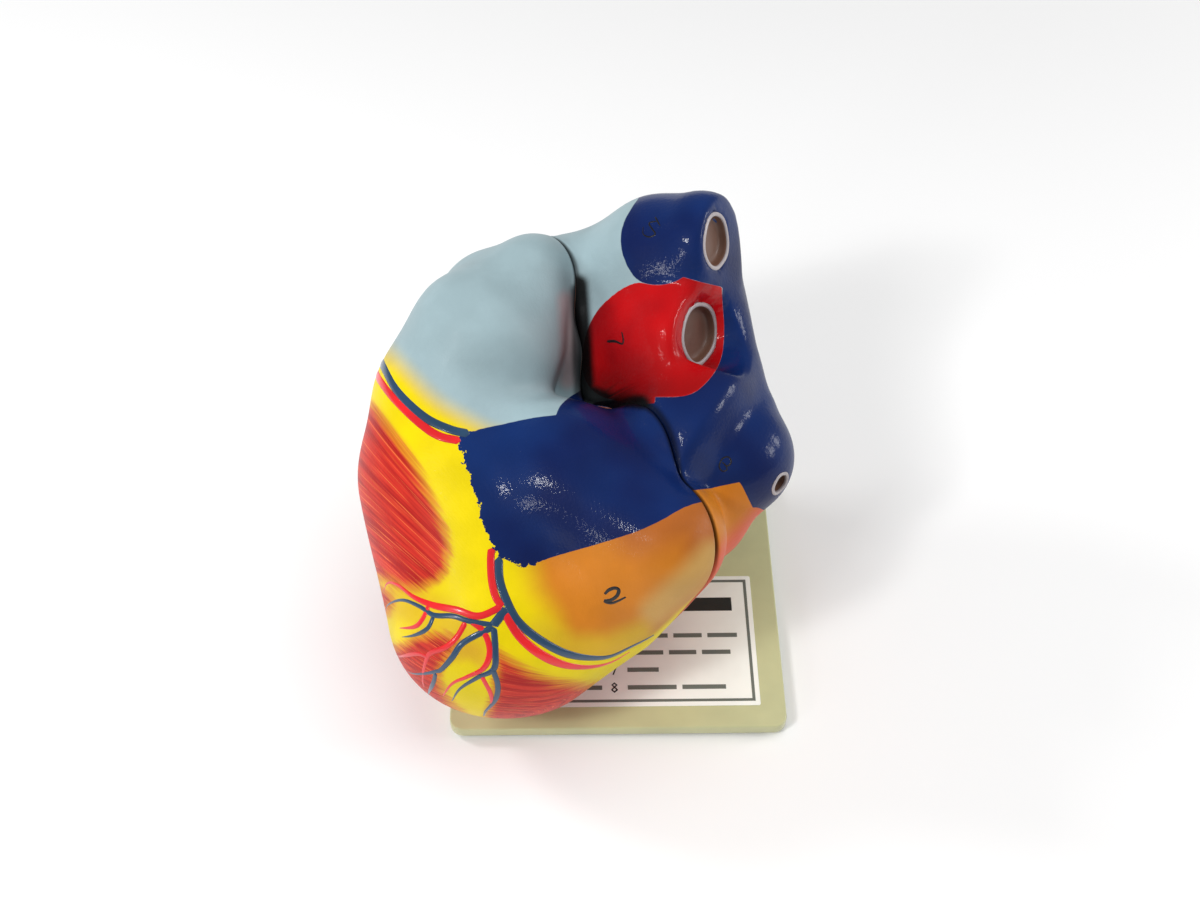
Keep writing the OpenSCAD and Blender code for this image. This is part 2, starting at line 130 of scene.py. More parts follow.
def lobeDistance(q, lobe, facet=None):
    # |q - a - t ab| - (ra + s(t)(rb - ra)), s the smooth step; a square end is a soft maximum
    a, b = np.array(lobe[0], float), np.array(lobe[1], float)
    ab = b - a
    span = ab @ ab
    t = np.clip(((q - a) @ ab) / span, 0, 1)
    ease = t * t * (3 - 2 * t)
    d = np.linalg.norm(q - a - t[..., None] * ab, axis=-1) - (lobe[2] + ease * (lobe[3] - lobe[2]))
    if lobe[4]:
        way = np.array(facet["way"]) if facet else ab
        cut = (q - b) @ way / np.linalg.norm(way) - (facet["reach"] if facet else lobe[4])
        d = form["cutSoftness"] * np.logaddexp(d / form["cutSoftness"], cut / form["cutSoftness"])
    return d


def formDistance(q, blend=None):
    # -k ln(sum exp(-d / k)) over the lobes
    k = blend or form["blend"]
    total = None
    for name, lobe in lobes.items():
        e = -lobeDistance(q, lobe, facets.get(name)) / k
        total = e if total is None else np.logaddexp(total, e)
    whole = -k * total
    for spot in spotFaces:
        # clears what stands over a facet within its radius
        way = np.array(facets[spot["on"]]["way"])
        way = way / np.linalg.norm(way)
        v = q - np.array(spot["at"])
        out = v @ way
        across = np.linalg.norm(v - out[..., None] * way, axis=-1)
        cleared = np.maximum(spot["low"] - out, across - spot["radius"])
        whole = spot["soft"] * np.logaddexp(whole / spot["soft"], -cleared / spot["soft"])
    return whole


def formNormal(q, step=0.4):
    # central differences of the distance, made unit length
    n = np.stack([formDistance(q + step * e) - formDistance(q - step * e) for e in np.eye(3)], -1)
    return n / np.linalg.norm(n, axis=-1, keepdims=True)


def settle(q, times=3):
    # walks points onto the form along its normal
    for _ in range(times):
        q = q - formDistance(q)[..., None] * formNormal(q)
    return q


def atPixels(pixels, start=330.0, steps=60):
    # walks along the camera's rays through photograph pixels to where they meet or pass
    # nearest to the form, and settles them on it
    pixels = np.asarray(pixels, float)
    x = (pixels[..., 0] - view["width"] / 2) / view["focal"]
    y = (pixels[..., 1] - view["height"] / 2) / view["focal"]
    ray = camAhead + x[..., None] * camRight - y[..., None] * camUp
    ray = ray / np.linalg.norm(ray, axis=-1, keepdims=True)
    origin, ray = toHeart(camAt), ray @ axes.T
    reach = np.full(x.shape, start)
    nearest, least = reach, np.full(x.shape, 1e9)
    for _ in range(steps):
        gap = formDistance(origin + ray * reach[..., None])
        nearest, least = np.where(gap < least, reach, nearest), np.minimum(gap, least)
        reach = np.minimum(reach + 0.9 * gap, 800.0)
    return settle(origin + ray * nearest[..., None])


# ---------- mesh helpers ----------

def gridFaces(rows, cols, wrap=True, first=0):
    # quads of a grid whose rows run along its first index; wrap joins the last column to the first
    i, j = np.meshgrid(np.arange(rows - 1), np.arange(cols if wrap else cols - 1), indexing="ij")
    n = (j + 1) % cols
    quads = np.stack([i * cols + j, i * cols + n, (i + 1) * cols + n, (i + 1) * cols + j], -1)
    return quads.reshape(-1, 4) + first


def fanFaces(ring, tip, flip=False):
    # triangles from a closed ring of vertex numbers to one tip
    after = np.roll(ring, -1)
    tris = np.stack([ring, after, np.full_like(ring, tip)], -1)
    return tris[:, ::-1] if flip else tris


def makePiece(name, points, faces, body, material, replaces=(), smooth=True):
    # points are in the base frame, in millimetres; faces is a list of index arrays
    mesh = bpy.data.meshes.new(name)
    mesh.from_pydata((points * mm).tolist(), [], [f for block in faces for f in block.tolist()])
    mesh.polygons.foreach_set("use_smooth", np.full(len(mesh.polygons), smooth))
    mesh.update()
    piece = bpy.data.objects.new(name, mesh)
    bpy.context.scene.collection.objects.link(piece)
    mesh.materials.append(material)
    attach(piece, body)
    if replaces:
        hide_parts(*replaces)
    return piece


def addField(piece, name, values):
    # a value at each vertex, read by the material's Attribute node
    kind = "FLOAT_COLOR" if values.ndim == 2 and values.shape[1] == 4 else (
        "FLOAT_VECTOR" if values.ndim == 2 else "FLOAT")
    layer = piece.data.attributes.new(name, kind, "POINT")
    key = {"FLOAT_COLOR": "color", "FLOAT_VECTOR": "vector", "FLOAT": "value"}[kind]
    layer.data.foreach_set(key, np.ascontiguousarray(values, np.float32).ravel())


def linear(rgb):
    # sRGB 0-255 to linear 0-1
    c = np.asarray(rgb, float) / 255
    return np.where(c <= 0.04045, c / 12.92, ((c + 0.055) / 1.055) ** 2.4)


def smoothStep(x, low, high):
    t = np.clip((x - low) / (high - low), 0, 1)
    return t * t * (3 - 2 * t)


# ---------- materials ----------

class Nodes:
    # a small helper for a material's node tree
    def __init__(self, name):
        self.material = bpy.data.materials.new(name)
        self.material.use_nodes = True
        self.tree = self.material.node_tree
        self.shader = self.tree.nodes["Principled BSDF"]

    def add(self, kind, **values):
        node = self.tree.nodes.new(kind)
        for key, value in values.items():
            if key in node.inputs:
                node.inputs[key].default_value = value
            else:
                setattr(node, key, value)
        return node

    def link(self, a, b):
        self.tree.links.new(a, b)
        return b

    def put(self, **values):
        for key, value in values.items():
            self.shader.inputs[key.replace("_", " ")].default_value = value

    def attribute(self, name, output="Fac"):
        return self.add("ShaderNodeAttribute", attribute_name=name).outputs[output]

    def place(self, scale=1.0, stretch=(1, 1, 1)):
        # object coordinates, scaled
        coords = self.add("ShaderNodeTexCoord").outputs["Object"]
        mapping = self.add("ShaderNodeMapping")
        mapping.inputs["Scale"].default_value = tuple(scale * s for s in stretch)
        self.link(coords, mapping.inputs["Vector"])
        return mapping.outputs["Vector"]

    def noise(self, vector, scale, detail=3.0, rough=0.5, output="Fac"):
        node = self.add("ShaderNodeTexNoise")
        node.inputs["Scale"].default_value = scale
        node.inputs["Detail"].default_value = detail
        node.inputs["Roughness"].default_value = rough
        self.link(vector, node.inputs["Vector"])
        return node.outputs[output]

    def ramp(self, value, low, high, to=(0.0, 1.0)):
        node = self.add("ShaderNodeMapRange", interpolation_type="SMOOTHSTEP")
        node.inputs["From Min"].default_value = low
        node.inputs["From Max"].default_value = high
        node.inputs["To Min"].default_value = to[0]
        node.inputs["To Max"].default_value = to[1]
        self.link(value, node.inputs["Value"])
        return node.outputs["Result"]

    def math(self, operation, a, b=None):
        node = self.add("ShaderNodeMath", operation=operation)
        for socket, value in zip(node.inputs, (a, b)):
            if value is None:
                continue
            if isinstance(value, (int, float)):
                socket.default_value = value
            else:
                self.link(value, socket)
        return node.outputs[0]

    def mix(self, factor, a, b, blend="MIX"):
        node = self.add("ShaderNodeMix", data_type="RGBA", blend_type=blend)
        for socket, value in ((node.inputs[0], factor), (node.inputs[6], a), (node.inputs[7], b)):
            if isinstance(value, bpy.types.NodeSocket):
                self.link(value, socket)
            elif isinstance(value, (int, float)):
                socket.default_value = value
            else:
                socket.default_value = (*linear(value), 1.0)
        return node.outputs[2]

    def bump(self, height, strength, distance, under=None):
        node = self.add("ShaderNodeBump")
        node.inputs["Strength"].default_value = strength
        node.inputs["Distance"].default_value = distance
        self.link(height, node.inputs["Height"])
        if under is not None:
            self.link(under, node.inputs["Normal"])
        return node.outputs["Normal"]


paint = {"navy": (9, 26, 76), "navyLight": (13, 42, 98), "crimson": (192, 8, 14), "crimsonDark": (132, 6, 14),
         "muscle": (202, 50, 36), "ochre": (206, 142, 36), "fibreReach": 1.0,
         "streakDark": (158, 20, 22), "streakLight": (240, 130, 70), "roughness": 0.45, "specular": 0.22,
         "coat": 0.3, "coatThin": 0.02, "coatRoughness": 0.09, "glossSpecular": 0.1}


def heartPaint(name):
    # airbrushed colour from the surface, with a painted highlight and a painted reflection in it, muscle streaks along
    # the grain, and crisp navy and crimson areas where their signed distance, ruffled by noise, is above zero
    n = Nodes(name)
    colour = n.attribute("airbrushAndReflections", "Color")
    grain = n.attribute("grain", "Vector")
    muscle = n.attribute("muscle")
    here = n.place()
    fibres = n.math("MULTIPLY", n.math("SUBTRACT", n.noise(grain, 1.3, 4.0, 0.65), 0.5), paint["fibreReach"])
    mask = n.math("ADD", muscle, n.math("MULTIPLY", fibres, n.ramp(muscle, 0.0, 0.3)))
    muscle = n.ramp(mask, 0.12, 0.95)
    colour = n.mix(n.math("MULTIPLY", n.ramp(n.math("ABSOLUTE", n.math("SUBTRACT", mask, 0.4)), 0.38, 0.0), 0.6), colour, paint["ochre"])
    colour = n.mix(muscle, colour, paint["muscle"])
    dark = n.ramp(n.noise(grain, 1.0, 4.0, 0.62), 0.42, 0.62)
    colour = n.mix(n.math("MULTIPLY", n.math("MULTIPLY", dark, muscle), 0.85), colour, paint["streakDark"])
    shift = n.add("ShaderNodeVectorMath", operation="MULTIPLY_ADD")
    shift.inputs[1].default_value = (1.0, 1.0, 2.6)
    shift.inputs[2].default_value = (4.0, 9.0, 2.0)
    n.link(grain, shift.inputs[0])
    thin = n.ramp(n.noise(shift.outputs[0], 1.9, 2.0, 0.5), 0.60, 0.68)
    reach = n.ramp(mask, 0.05, 0.5)
    colour = n.mix(n.math("MULTIPLY", n.math("MULTIPLY", thin, reach), 0.6), colour, paint["streakLight"])
    mottle = n.ramp(n.noise(here, 60.0, 3.0), 0.3, 0.7, (0.93, 1.05))
    ragged = n.math("MULTIPLY", n.math("SUBTRACT", n.noise(here, 420.0, 3.0, 0.6), 0.5), n.attribute("ragged"))
    navyEdge = n.ramp(n.math("ADD", n.attribute("navy"), ragged), -0.12, 0.12)
    navy = n.mix(n.ramp(n.noise(here, 26.0, 2.0), 0.35, 0.7), paint["navy"], paint["navyLight"])
    colour = n.mix(navyEdge, colour, navy)
    crimsonEdge = n.ramp(n.attribute("crimson"), -0.12, 0.12)
    crimson = n.mix(n.ramp(n.noise(here, 30.0, 2.0), 0.4, 0.75), paint["crimson"], paint["crimsonDark"])
    colour = n.mix(crimsonEdge, colour, crimson)
    tone = n.add("ShaderNodeVectorMath", operation="SCALE")
    n.link(colour, tone.inputs[0])
    n.link(n.math("MULTIPLY", mottle, n.attribute("shade")), tone.inputs["Scale"])
    n.link(tone.outputs[0], n.shader.inputs["Base Color"])
    peel = n.bump(n.noise(here, 900.0, 2.0), 0.22, 0.0004)
    brush = n.bump(n.noise(grain, 2.2, 3.0), 0.10, 0.0006, peel)
    n.link(brush, n.shader.inputs["Normal"])
    n.link(brush, n.shader.inputs["Coat Normal"])
    glossy = n.math("MAXIMUM", navyEdge, crimsonEdge)
    n.link(n.ramp(glossy, 0.0, 1.0, (paint["coatThin"], paint["coat"])), n.shader.inputs["Coat Weight"])
    n.link(n.ramp(glossy, 0.0, 1.0, (paint["specular"], paint["glossSpecular"])), n.shader.inputs["Specular IOR Level"])
    n.put(Roughness=paint["roughness"], Coat_Roughness=paint["coatRoughness"])
    return n.material


def plainFinish(name, colour, roughness, coat=0.0, grainScale=500.0, grainDepth=0.0002, metallic=0.0, vary=0.06):
    # one colour with slight cloudiness, small bumps and uneven gloss
    n = Nodes(name)
    here = n.place()
    dark = tuple(c * (1 - vary) for c in colour)
    light = tuple(min(255, c * (1 + vary)) for c in colour)
    n.link(n.mix(n.ramp(n.noise(here, 45.0, 3.0), 0.3, 0.7), dark, light), n.shader.inputs["Base Color"])
    n.link(n.ramp(n.noise(here, 130.0, 2.0), 0.2, 0.8, (roughness * 0.85, roughness * 1.15)), n.shader.inputs["Roughness"])
    n.link(n.bump(n.noise(here, grainScale, 2.0), 0.2, grainDepth), n.shader.inputs["Normal"])
    n.put(Coat_Weight=coat, Coat_Roughness=0.1, Metallic=metallic)
    return n.material


# ---------- painted areas ----------

# Colours of the soft airbrush coats; two of them are painted light, a highlight and a reflection.
coats = {"greyBlue": (152, 174, 180), "muscle": (210, 72, 44), "yellow": (228, 204, 0), "deepYellow": (214, 182, 34),
         "orange": (202, 122, 32), "deepOrange": (162, 88, 36), "tan": (198, 158, 88), "rose": (214, 92, 60),
         "rosyReflection": (190, 150, 150), "cut": (226, 168, 142), "inside": (214, 206, 190)}

# Areas and lines seen in the photograph, as pixels of its 1200 x 916 frame.
marks = {
    "navyTrunk": [(459, 436), (475, 430), (500, 425), (530, 418), (556, 415), (560, 405), (572, 395), (600, 380), (680, 380),
                  (720, 500), (690, 503), (651, 527), (599, 544), (541, 560), (527, 569), (505, 560), (497, 553), (490, 545),
                  (483, 520), (478, 500), (470, 480), (463, 460)],
    "rightAtrium": [(300, 320), (382, 338), (408, 366), (438, 398), (470, 416), (500, 432), (560, 436), (600, 436), (620, 200), (300, 150)],
    "leftAtrium": [(497, 555), (500, 580), (508, 603), (519, 622), (539, 639), (565, 653), (591, 658), (610, 657), (635, 646),
                   (653, 636), (690, 600), (730, 570), (730, 490), (690, 494), (651, 517), (599, 534), (541, 550), (520, 555), (505, 552)],
    "navyVein": [(633, 205), (622, 225), (620, 245), (626, 265), (636, 280), (650, 285), (665, 285), (680, 280), (683, 277),
                 (700, 282), (722, 287), (735, 290), (745, 200), (720, 170), (660, 170)],
    "crimsonAorta": [(636, 281), (610, 295), (590, 320), (582, 350), (583, 380), (600, 398), (640, 405), (655, 403), (655, 397),
                     (690, 397), (710, 380), (722, 360), (725, 330), (722, 300), (722, 287), (700, 282), (683, 277), (680, 280),
                     (665, 285), (650, 285)],
    "navyArtery": [(733, 190), (735, 250), (722, 287), (722, 300), (725, 330), (722, 360), (710, 380), (690, 397), (655, 397),
                   (655, 403), (600, 398), (560, 420), (640, 480), (688, 493), (740, 482), (753, 508), (757, 507), (775, 515),
                   (830, 500), (830, 400), (790, 200)],
    "orangeRear": [(680, 480), (740, 470), (765, 505), (800, 512), (760, 560), (700, 620), (620, 690), (600, 680), (690, 590), (714, 548), (714, 520)],
    "greyRear": [(560, 150), (660, 150), (633, 205), (622, 225), (620, 245), (626, 265), (636, 280), (610, 295), (590, 320),
                 (582, 350), (575, 390), (545, 390), (545, 200)],
}


def easeCorners(corners, times=2, keep=0.5):
    # cuts each shallow corner at a quarter of its sides; corners sharper than the cosine stay
    for _ in range(times):
        into, out = corners - np.roll(corners, 1, 0), np.roll(corners, -1, 0) - corners
        turn = np.sum(into * out, 1) / (np.linalg.norm(into, axis=1) * np.linalg.norm(out, axis=1))
        corners = np.concatenate([[c - 0.25 * i, c + 0.25 * o] if t > keep else [c]
                                  for c, i, o, t in zip(corners, into, out, turn)])
    return corners


def polygonDistance(points, corners):
    # signed distance in pixels, positive inside; the side comes from counting crossings
    corners = easeCorners(np.asarray(corners, float))
    a, b = corners, np.roll(corners, -1, 0)
    inside = np.zeros(len(points), bool)
    best = np.full(len(points), 1e9)
    for p, q in zip(a, b):
        e = q - p
        t = np.clip((points - p) @ e / (e @ e), 0, 1)
        best = np.minimum(best, np.linalg.norm(points - p - t[:, None] * e, axis=1))
        crosses = (p[1] > points[:, 1]) != (q[1] > points[:, 1])
        with np.errstate(divide="ignore", invalid="ignore"):
            at = (q[0] - p[0]) * (points[:, 1] - p[1]) / (q[1] - p[1]) + p[0]
        inside ^= crosses & (points[:, 0] < at)
    return np.where(inside, best, -best)


def lineDistance(points, path):
    # distance from points to a chain of straight runs
    path = np.asarray(path, float)
    best = np.full(len(points), 1e9)
    for p, q in zip(path[:-1], path[1:]):
        e = q - p
        t = np.clip((points - p) @ e / max(e @ e, 1e-9), 0, 1)
        best = np.minimum(best, np.linalg.norm(points - p - t[:, None] * e, axis=1))
    return best


# Muscle on the front's visible ventricles, as pixel polygons with soft edges; the rest there is yellow fat.
muscleAreas = [
    [(300, 392), (369, 400), (386, 424), (404, 448), (420, 474), (437, 512), (449, 546), (444, 574), (425, 588), (400, 588), (384, 578), (300, 560)],
    [(340, 575), (384, 588), (392, 598), (388, 612), (300, 620)],
    [(300, 655), (396, 650), (420, 636), (446, 634), (458, 642), (444, 660), (436, 676), (446, 700), (470, 722), (420, 740), (320, 690)],
    [(497, 652), (512, 662), (540, 679), (582, 687), (622, 684), (656, 662), (720, 610), (740, 680), (600, 760), (470, 760), (488, 716), (496, 690)],
]
ochreLines = [([(405, 600), (440, 620), (470, 640)], 10, 20, 0.45), ([(452, 655), (470, 650), (485, 662)], 3, 10, 0.5)]
muscleForm = {"soft": 13.0, "ochre": (206, 150, 44)}


def mixTo(colour, target, weight):
    return colour + (linear(target) - colour) * weight[:, None]


def groupDistances(q):
    # distance to the nearest lobe of each part of the heart
    groups = {"rightAtrium": ("rightAtriumFront", "rightAtriumLow", "rightAtriumEdge", "rightAtriumRear", "rightAtriumDeep",
                              "aortaRoot"),
              "ventricles": ("rightVentricle", "leftVentricle", "septum"),
              "trunk": ("lungTrunk",), "leftAtrium": ("leftAtriumFront", "leftAtriumRear"),
              "upperVein": ("upperVein",), "aorta": ("aorta",),
              "lungArtery": ("lungArtery", "lungArteryRidge"), "lowerVein": ("lowerVein",)}
    return {g: np.min([lobeDistance(q, lobes[l]) for l in names], axis=0) for g, names in groups.items()}


def facing(q, normals):
    # cosine between the surface and the line to the camera
    ray = toHeart(camAt) - q
    return np.sum(normals * ray / np.linalg.norm(ray, axis=1, keepdims=True), axis=1)


def otherThan(d, *keys):
    return np.min([v for k, v in d.items() if k not in keys], axis=0)


def paintFront(q, normals):
    # colours and edges of the front half: the photograph's polygons where the camera sees,
    # the nearest lobe elsewhere
    d = groupDistances(q)
    pixel = photoPixel(q)
    front = facing(q, normals)
    seen = smoothStep(front, -0.12, -0.01)
    perPixel = 0.36
    groove = d["rightAtrium"] - d["ventricles"]
    areas = np.max([polygonDistance(pixel, area) for area in muscleAreas], axis=0)
    soft = muscleForm["soft"]
    visible = smoothStep(areas, -soft, soft)
    hidden = smoothStep(np.abs(groove), 4, 14)
    muscle = visible * seen + hidden * (1 - seen)
    colour = np.tile(linear(coats["yellow"]), (len(q), 1))
    for path, width, softness, strength in ochreLines:
        colour = mixTo(colour, muscleForm["ochre"], seen * strength * (1 - smoothStep(lineDistance(pixel, path), width, width + softness)))
    behind = np.maximum(-groove - 4, d["ventricles"] - d["trunk"])
    atrium = seen * polygonDistance(pixel, marks["rightAtrium"]) * perPixel + (1 - seen) * behind
    above = smoothStep(atrium, -10, -6)
    colour = mixTo(colour, coats["yellow"], above)
    colour = mixTo(colour, coats["deepYellow"], 0.7 * above * smoothStep(atrium, -7, -3))
    colour = mixTo(colour, coats["greyBlue"], above * smoothStep(atrium, -6, 4))
    # painted reflection: a rosy tint, cast by the red aorta lobe, laid along the seam of the front half
    redReflectionBand = 1 - smoothStep(lineDistance(pixel, [(566, 300), (570, 345), (568, 380)]), 2, 14)
    colour = mixTo(colour, coats["rosyReflection"], 0.55 * seen * redReflectionBand)
    muscle = muscle * (1 - above)
    leftAtrium = seen * polygonDistance(pixel, marks["leftAtrium"]) * perPixel + (1 - seen) * (otherThan(d, "leftAtrium") - d["leftAtrium"])
    inside = smoothStep(leftAtrium, -0.8, 0.8)
    area = np.tile(linear(coats["orange"]), (len(q), 1))
    near = lineDistance(pixel, [(505, 570), (512, 600), (530, 628)])
    area = mixTo(area, coats["yellow"], 1 - smoothStep(near, 4, 48))
    area = mixTo(area, coats["deepOrange"], 0.85 * (1 - smoothStep(lineDistance(pixel, [(640, 530), (700, 515), (704, 540)]), 4, 46)))
    # painted highlight: a pale tan band along the lower right rim of the left atrium
    area = mixTo(area, coats["tan"], 0.85 * (1 - smoothStep(lineDistance(pixel, [(655, 612), (690, 580), (712, 556)]), 3, 26)))
    area = mixTo(area, coats["deepYellow"], 0.7 * (1 - smoothStep(lineDistance(pixel, [(540, 632), (575, 648), (610, 648), (640, 636)]), 2, 24)))
    colour = colour + (area - colour) * inside[:, None]
    muscle = muscle * (1 - inside)
    navy = seen * polygonDistance(pixel, marks["navyTrunk"]) * perPixel + (1 - seen) * (otherThan(d, "trunk") - d["trunk"] - 6) * 0.5
    bristly = lineDistance(pixel, [(460, 440), (463, 460), (470, 480), (478, 500), (483, 520), (490, 545), (505, 562), (527, 568)])
    ragged = 0.3 + 7.0 * (1 - smoothStep(bristly, 6, 22))
    return colour, muscle, navy, np.full(len(q), -5.0), ragged


def paintRear(q, normals):
    # colours and edges of the rear half
    d = groupDistances(q)
    pixel = photoPixel(q)
    front = facing(q, normals)
    seen = smoothStep(front, -0.12, -0.01)
    perPixel = 0.36
    colour = np.tile(linear(coats["muscle"]), (len(q), 1))
    muscle = smoothStep(otherThan(d, "ventricles") - d["ventricles"], 2, 12)
    low = smoothStep(-q[:, 2], 14, 24)
    colour = mixTo(colour, coats["greyBlue"], 1 - low)
    colour = mixTo(colour, coats["yellow"], low * (1 - smoothStep(np.abs(otherThan(d, "ventricles") - d["ventricles"]), 3, 12)))
    muscle = muscle * low
    nearLeft = np.minimum(d["leftAtrium"], d["trunk"])
    left = smoothStep(otherThan(d, "leftAtrium", "lungArtery", "trunk") - nearLeft, -3, 5)
    colour = mixTo(colour, coats["orange"], left)
    grey = smoothStep(otherThan(d, "rightAtrium", "lowerVein") - d["rightAtrium"], -4, 4)
    colour = mixTo(colour, coats["greyBlue"], grey)
    side = seen * smoothStep(polygonDistance(pixel, marks["orangeRear"]) * perPixel, -1, 1)
    colour = mixTo(colour, coats["orange"], side)
    muscle = muscle * (1 - side)
    colour = mixTo(colour, coats["rose"], seen * (1 - smoothStep(lineDistance(pixel, [(770, 512), (735, 548), (704, 591), (631, 664)]), 4, 22)))
    colour = mixTo(colour, coats["greyBlue"], seen * smoothStep(polygonDistance(pixel, marks["greyRear"]) * perPixel, -1, 1))
    muscle = muscle * (1 - left) * (1 - grey) * (1 - seen)
    navySeen = np.maximum(polygonDistance(pixel, marks["navyVein"]), polygonDistance(pixel, marks["navyArtery"])) * perPixel
    veins = np.minimum(np.minimum(d["upperVein"], d["lungArtery"]), d["lowerVein"])
    navyHidden = (otherThan(d, "upperVein", "lungArtery", "lowerVein") - veins) * 0.5
    navy = navySeen * seen + navyHidden * (1 - seen)
    crimsonSeen = polygonDistance(pixel, marks["crimsonAorta"]) * perPixel
    crimsonHidden = (otherThan(d, "aorta") - d["aorta"]) * 0.5
    crimson = crimsonSeen * seen + crimsonHidden * (1 - seen)
    return colour, muscle, navy, crimson, np.full(len(q), 0.4)


# ---------- the two shells ----------

shell = {"columns": 400, "rows": 132, "innerRows": 16, "lift": {1: 18.0, -1: 10.0}, "liftShare": 0.45, "wall": 5.5, "edgeRadius": 2.0, "paintEdge": 0.06, "creaseShade": 1.5,
         "notchLine": {1: [(578, 285), (582, 340), (585, 392), (602, 399), (640, 404)], -1: [(576, 290), (577, 340), (579, 392), (600, 399), (640, 404)]}, "notchWidth": {1: (6, 14), -1: (2, 9)},
         "notchDark": {1: 0.985, -1: 0.8}, "notchDepth": (14, 24), "lowShade": (345, 395, 0.42)}


def fanPoints(side, angles, rises, lifts):
    # starts on the spine, lifted off the parting plane row by row, and directions: azimuth in
    # that plane, then rise towards the pole
    a, b = np.array(form["spineFrom"]), np.array(form["spineTo"])
    along = (b - a) / np.linalg.norm(b - a)
    az, up = np.meshgrid(np.radians(angles), np.radians(rises))
    d = np.stack([np.cos(up) * np.cos(az), side * np.sin(up), np.cos(up) * np.sin(az)], -1)
    share = (np.cos(az) * along[0] + np.sin(az) * along[2]) * np.cos(up)
    start = (a + b) / 2 + share[..., None] * (b - a) / 2
    start[..., 1] += side * np.asarray(lifts)[:, None]
    return start, d


def traceForm(start, d):
    # walks inwards from outside until the form's distance is nought
    reach = np.full(d.shape[:-1], form["searchFrom"])
    for _ in range(form["searchSteps"]):
        reach = reach - form["searchShare"] * formDistance(start + d * reach[..., None])
    return reach


def evenAngles(count):
    # azimuths that space the parting outline evenly: inverse of its running length
    fine = np.linspace(0, 360, 1441)
    start, d = fanPoints(1, fine, [0.0], [0.0])
    outline = (start + d * traceForm(start, d)[..., None])[0]
    steps = np.linalg.norm(np.diff(outline, axis=0), axis=1) + 0.05
    run = np.concatenate([[0], np.cumsum(steps)])
    return np.interp(np.linspace(0, run[-1], count, endpoint=False), run, fine)


def roundEdge(points, start, side, radius, gap):
    # near the parting plane the outside turns in: inset = R - sqrt(R^2 - (R - h)^2)
    h = np.clip(side * points[..., 1] - gap / 2, 0, radius)
    inset = radius - np.sqrt(np.maximum(radius ** 2 - (radius - h) ** 2, 0))
    inwards = start - points
    inwards[..., 1] = 0
    inwards /= np.linalg.norm(inwards, axis=-1, keepdims=True) + 1e-9
    return points + inwards * inset[..., None]


def buildShell(name, node, side, body, material, painter):
    s = shell
    angles = evenAngles(s["columns"])
    share = np.linspace(0, 1, s["rows"], endpoint=False)
    rises = 90 * share ** 1.7
    lifts = s["lift"][side] * np.clip(share / s["liftShare"], 0, 1) ** 1.25
    start, d = fanPoints(side, angles, rises, lifts)
    reach = traceForm(start, d)
    outer = start + d * reach[..., None]
    outer[..., 1] += side * stance["gap"] / 2
    outer = roundEdge(outer, start, side, s["edgeRadius"], stance["gap"])
    outer = openMouths(outer, side)
    poleStart, poleWay = fanPoints(side, [0.0], [90.0], [s["lift"][side]])
    poleReach = traceForm(poleStart, poleWay)
    pole = (poleStart + poleWay * poleReach[..., None])[0]
    pick = np.linspace(0, s["rows"] - 1, s["innerRows"]).round().astype(int)
    calm = reach.copy()
    for shift in (-6, -3, 3, 6):
        calm = np.minimum(calm, np.roll(reach, shift, 1))
    calm = np.min([calm[np.clip(np.arange(s["rows"]) + shift, 0, s["rows"] - 1)] for shift in (-9, -6, -3, 0, 3, 6, 9)], axis=0)
    inner = start[pick] + d[pick] * np.maximum(calm[pick] - s["wall"], 2.0)[..., None]
    inner[..., 1] = side * np.maximum(side * inner[..., 1], 0) + side * stance["gap"] / 2
    innerPole = (poleStart + poleWay * (poleReach - s["wall"])[..., None])[0]
    cols, rows, inRows = s["columns"], s["rows"], s["innerRows"]
    rim = outer[:1] + (inner[:1] - outer[:1]) * s["paintEdge"]
    points = np.concatenate([inner[::-1].reshape(-1, 3), rim.reshape(-1, 3), outer.reshape(-1, 3), innerPole, pole])
    last = (inRows + rows) * cols
    faces = [gridFaces(inRows + rows + 1, cols),
             fanFaces(np.arange(cols), len(points) - 2, flip=True),
             fanFaces(np.arange(last, last + cols), len(points) - 1)]
    if side > 0:
        faces = [f[:, ::-1] for f in faces]
    piece = makePiece(name, toBase(points), faces, body, material, (node,))
    normals = formNormal(points)
    colour, muscle, navy, crimson, ragged = painter(points, normals)
    pixel = photoPixel(points)
    closed = smoothStep(pixel[:, 1], 545, 575)
    shade = 0.25 + 0.75 * np.maximum(smoothStep(np.abs(points[:, 1]), 0.4, s["creaseShade"]), 0.85 * closed)
    deep = 1 - smoothStep(lineDistance(pixel, s["notchLine"][side]), *s["notchWidth"][side])
    shade *= 1 - s["notchDark"][side] * deep * (1 - smoothStep(np.abs(points[:, 1]), *s["notchDepth"]))
    if side > 0:
        # the aorta's foot lies in the shade of what stands round it
        top, bottom, dim = s["lowShade"]
        shade *= 1 - dim * smoothStep(crimson, -1, 1) * smoothStep(pixel[:, 1], top, bottom)
    within = np.r_[np.ones((inRows + 1) * cols, bool), np.zeros(rows * cols, bool), True, False]
    colour[within] = linear(coats["cut"])
    colour[:(inRows - 1) * cols] = linear(coats["inside"])
    muscle[within], navy[within], crimson[within], shade[within] = 0, -9, -9, 1
    addField(piece, "airbrushAndReflections", np.concatenate([colour, np.ones((len(points), 1))], 1))
    addField(piece, "muscle", muscle)
    addField(piece, "navy", navy)
    addField(piece, "crimson", crimson)
    addField(piece, "shade", shade)
    addField(piece, "ragged", ragged)
    addField(piece, "grain", grainAt(points))
    return piece


grainAxis = {"centre": (57.3, -18.1, -54.2), "way": (0.25, 0.81, 0.53), "round": 1.5, "across": 46.0}


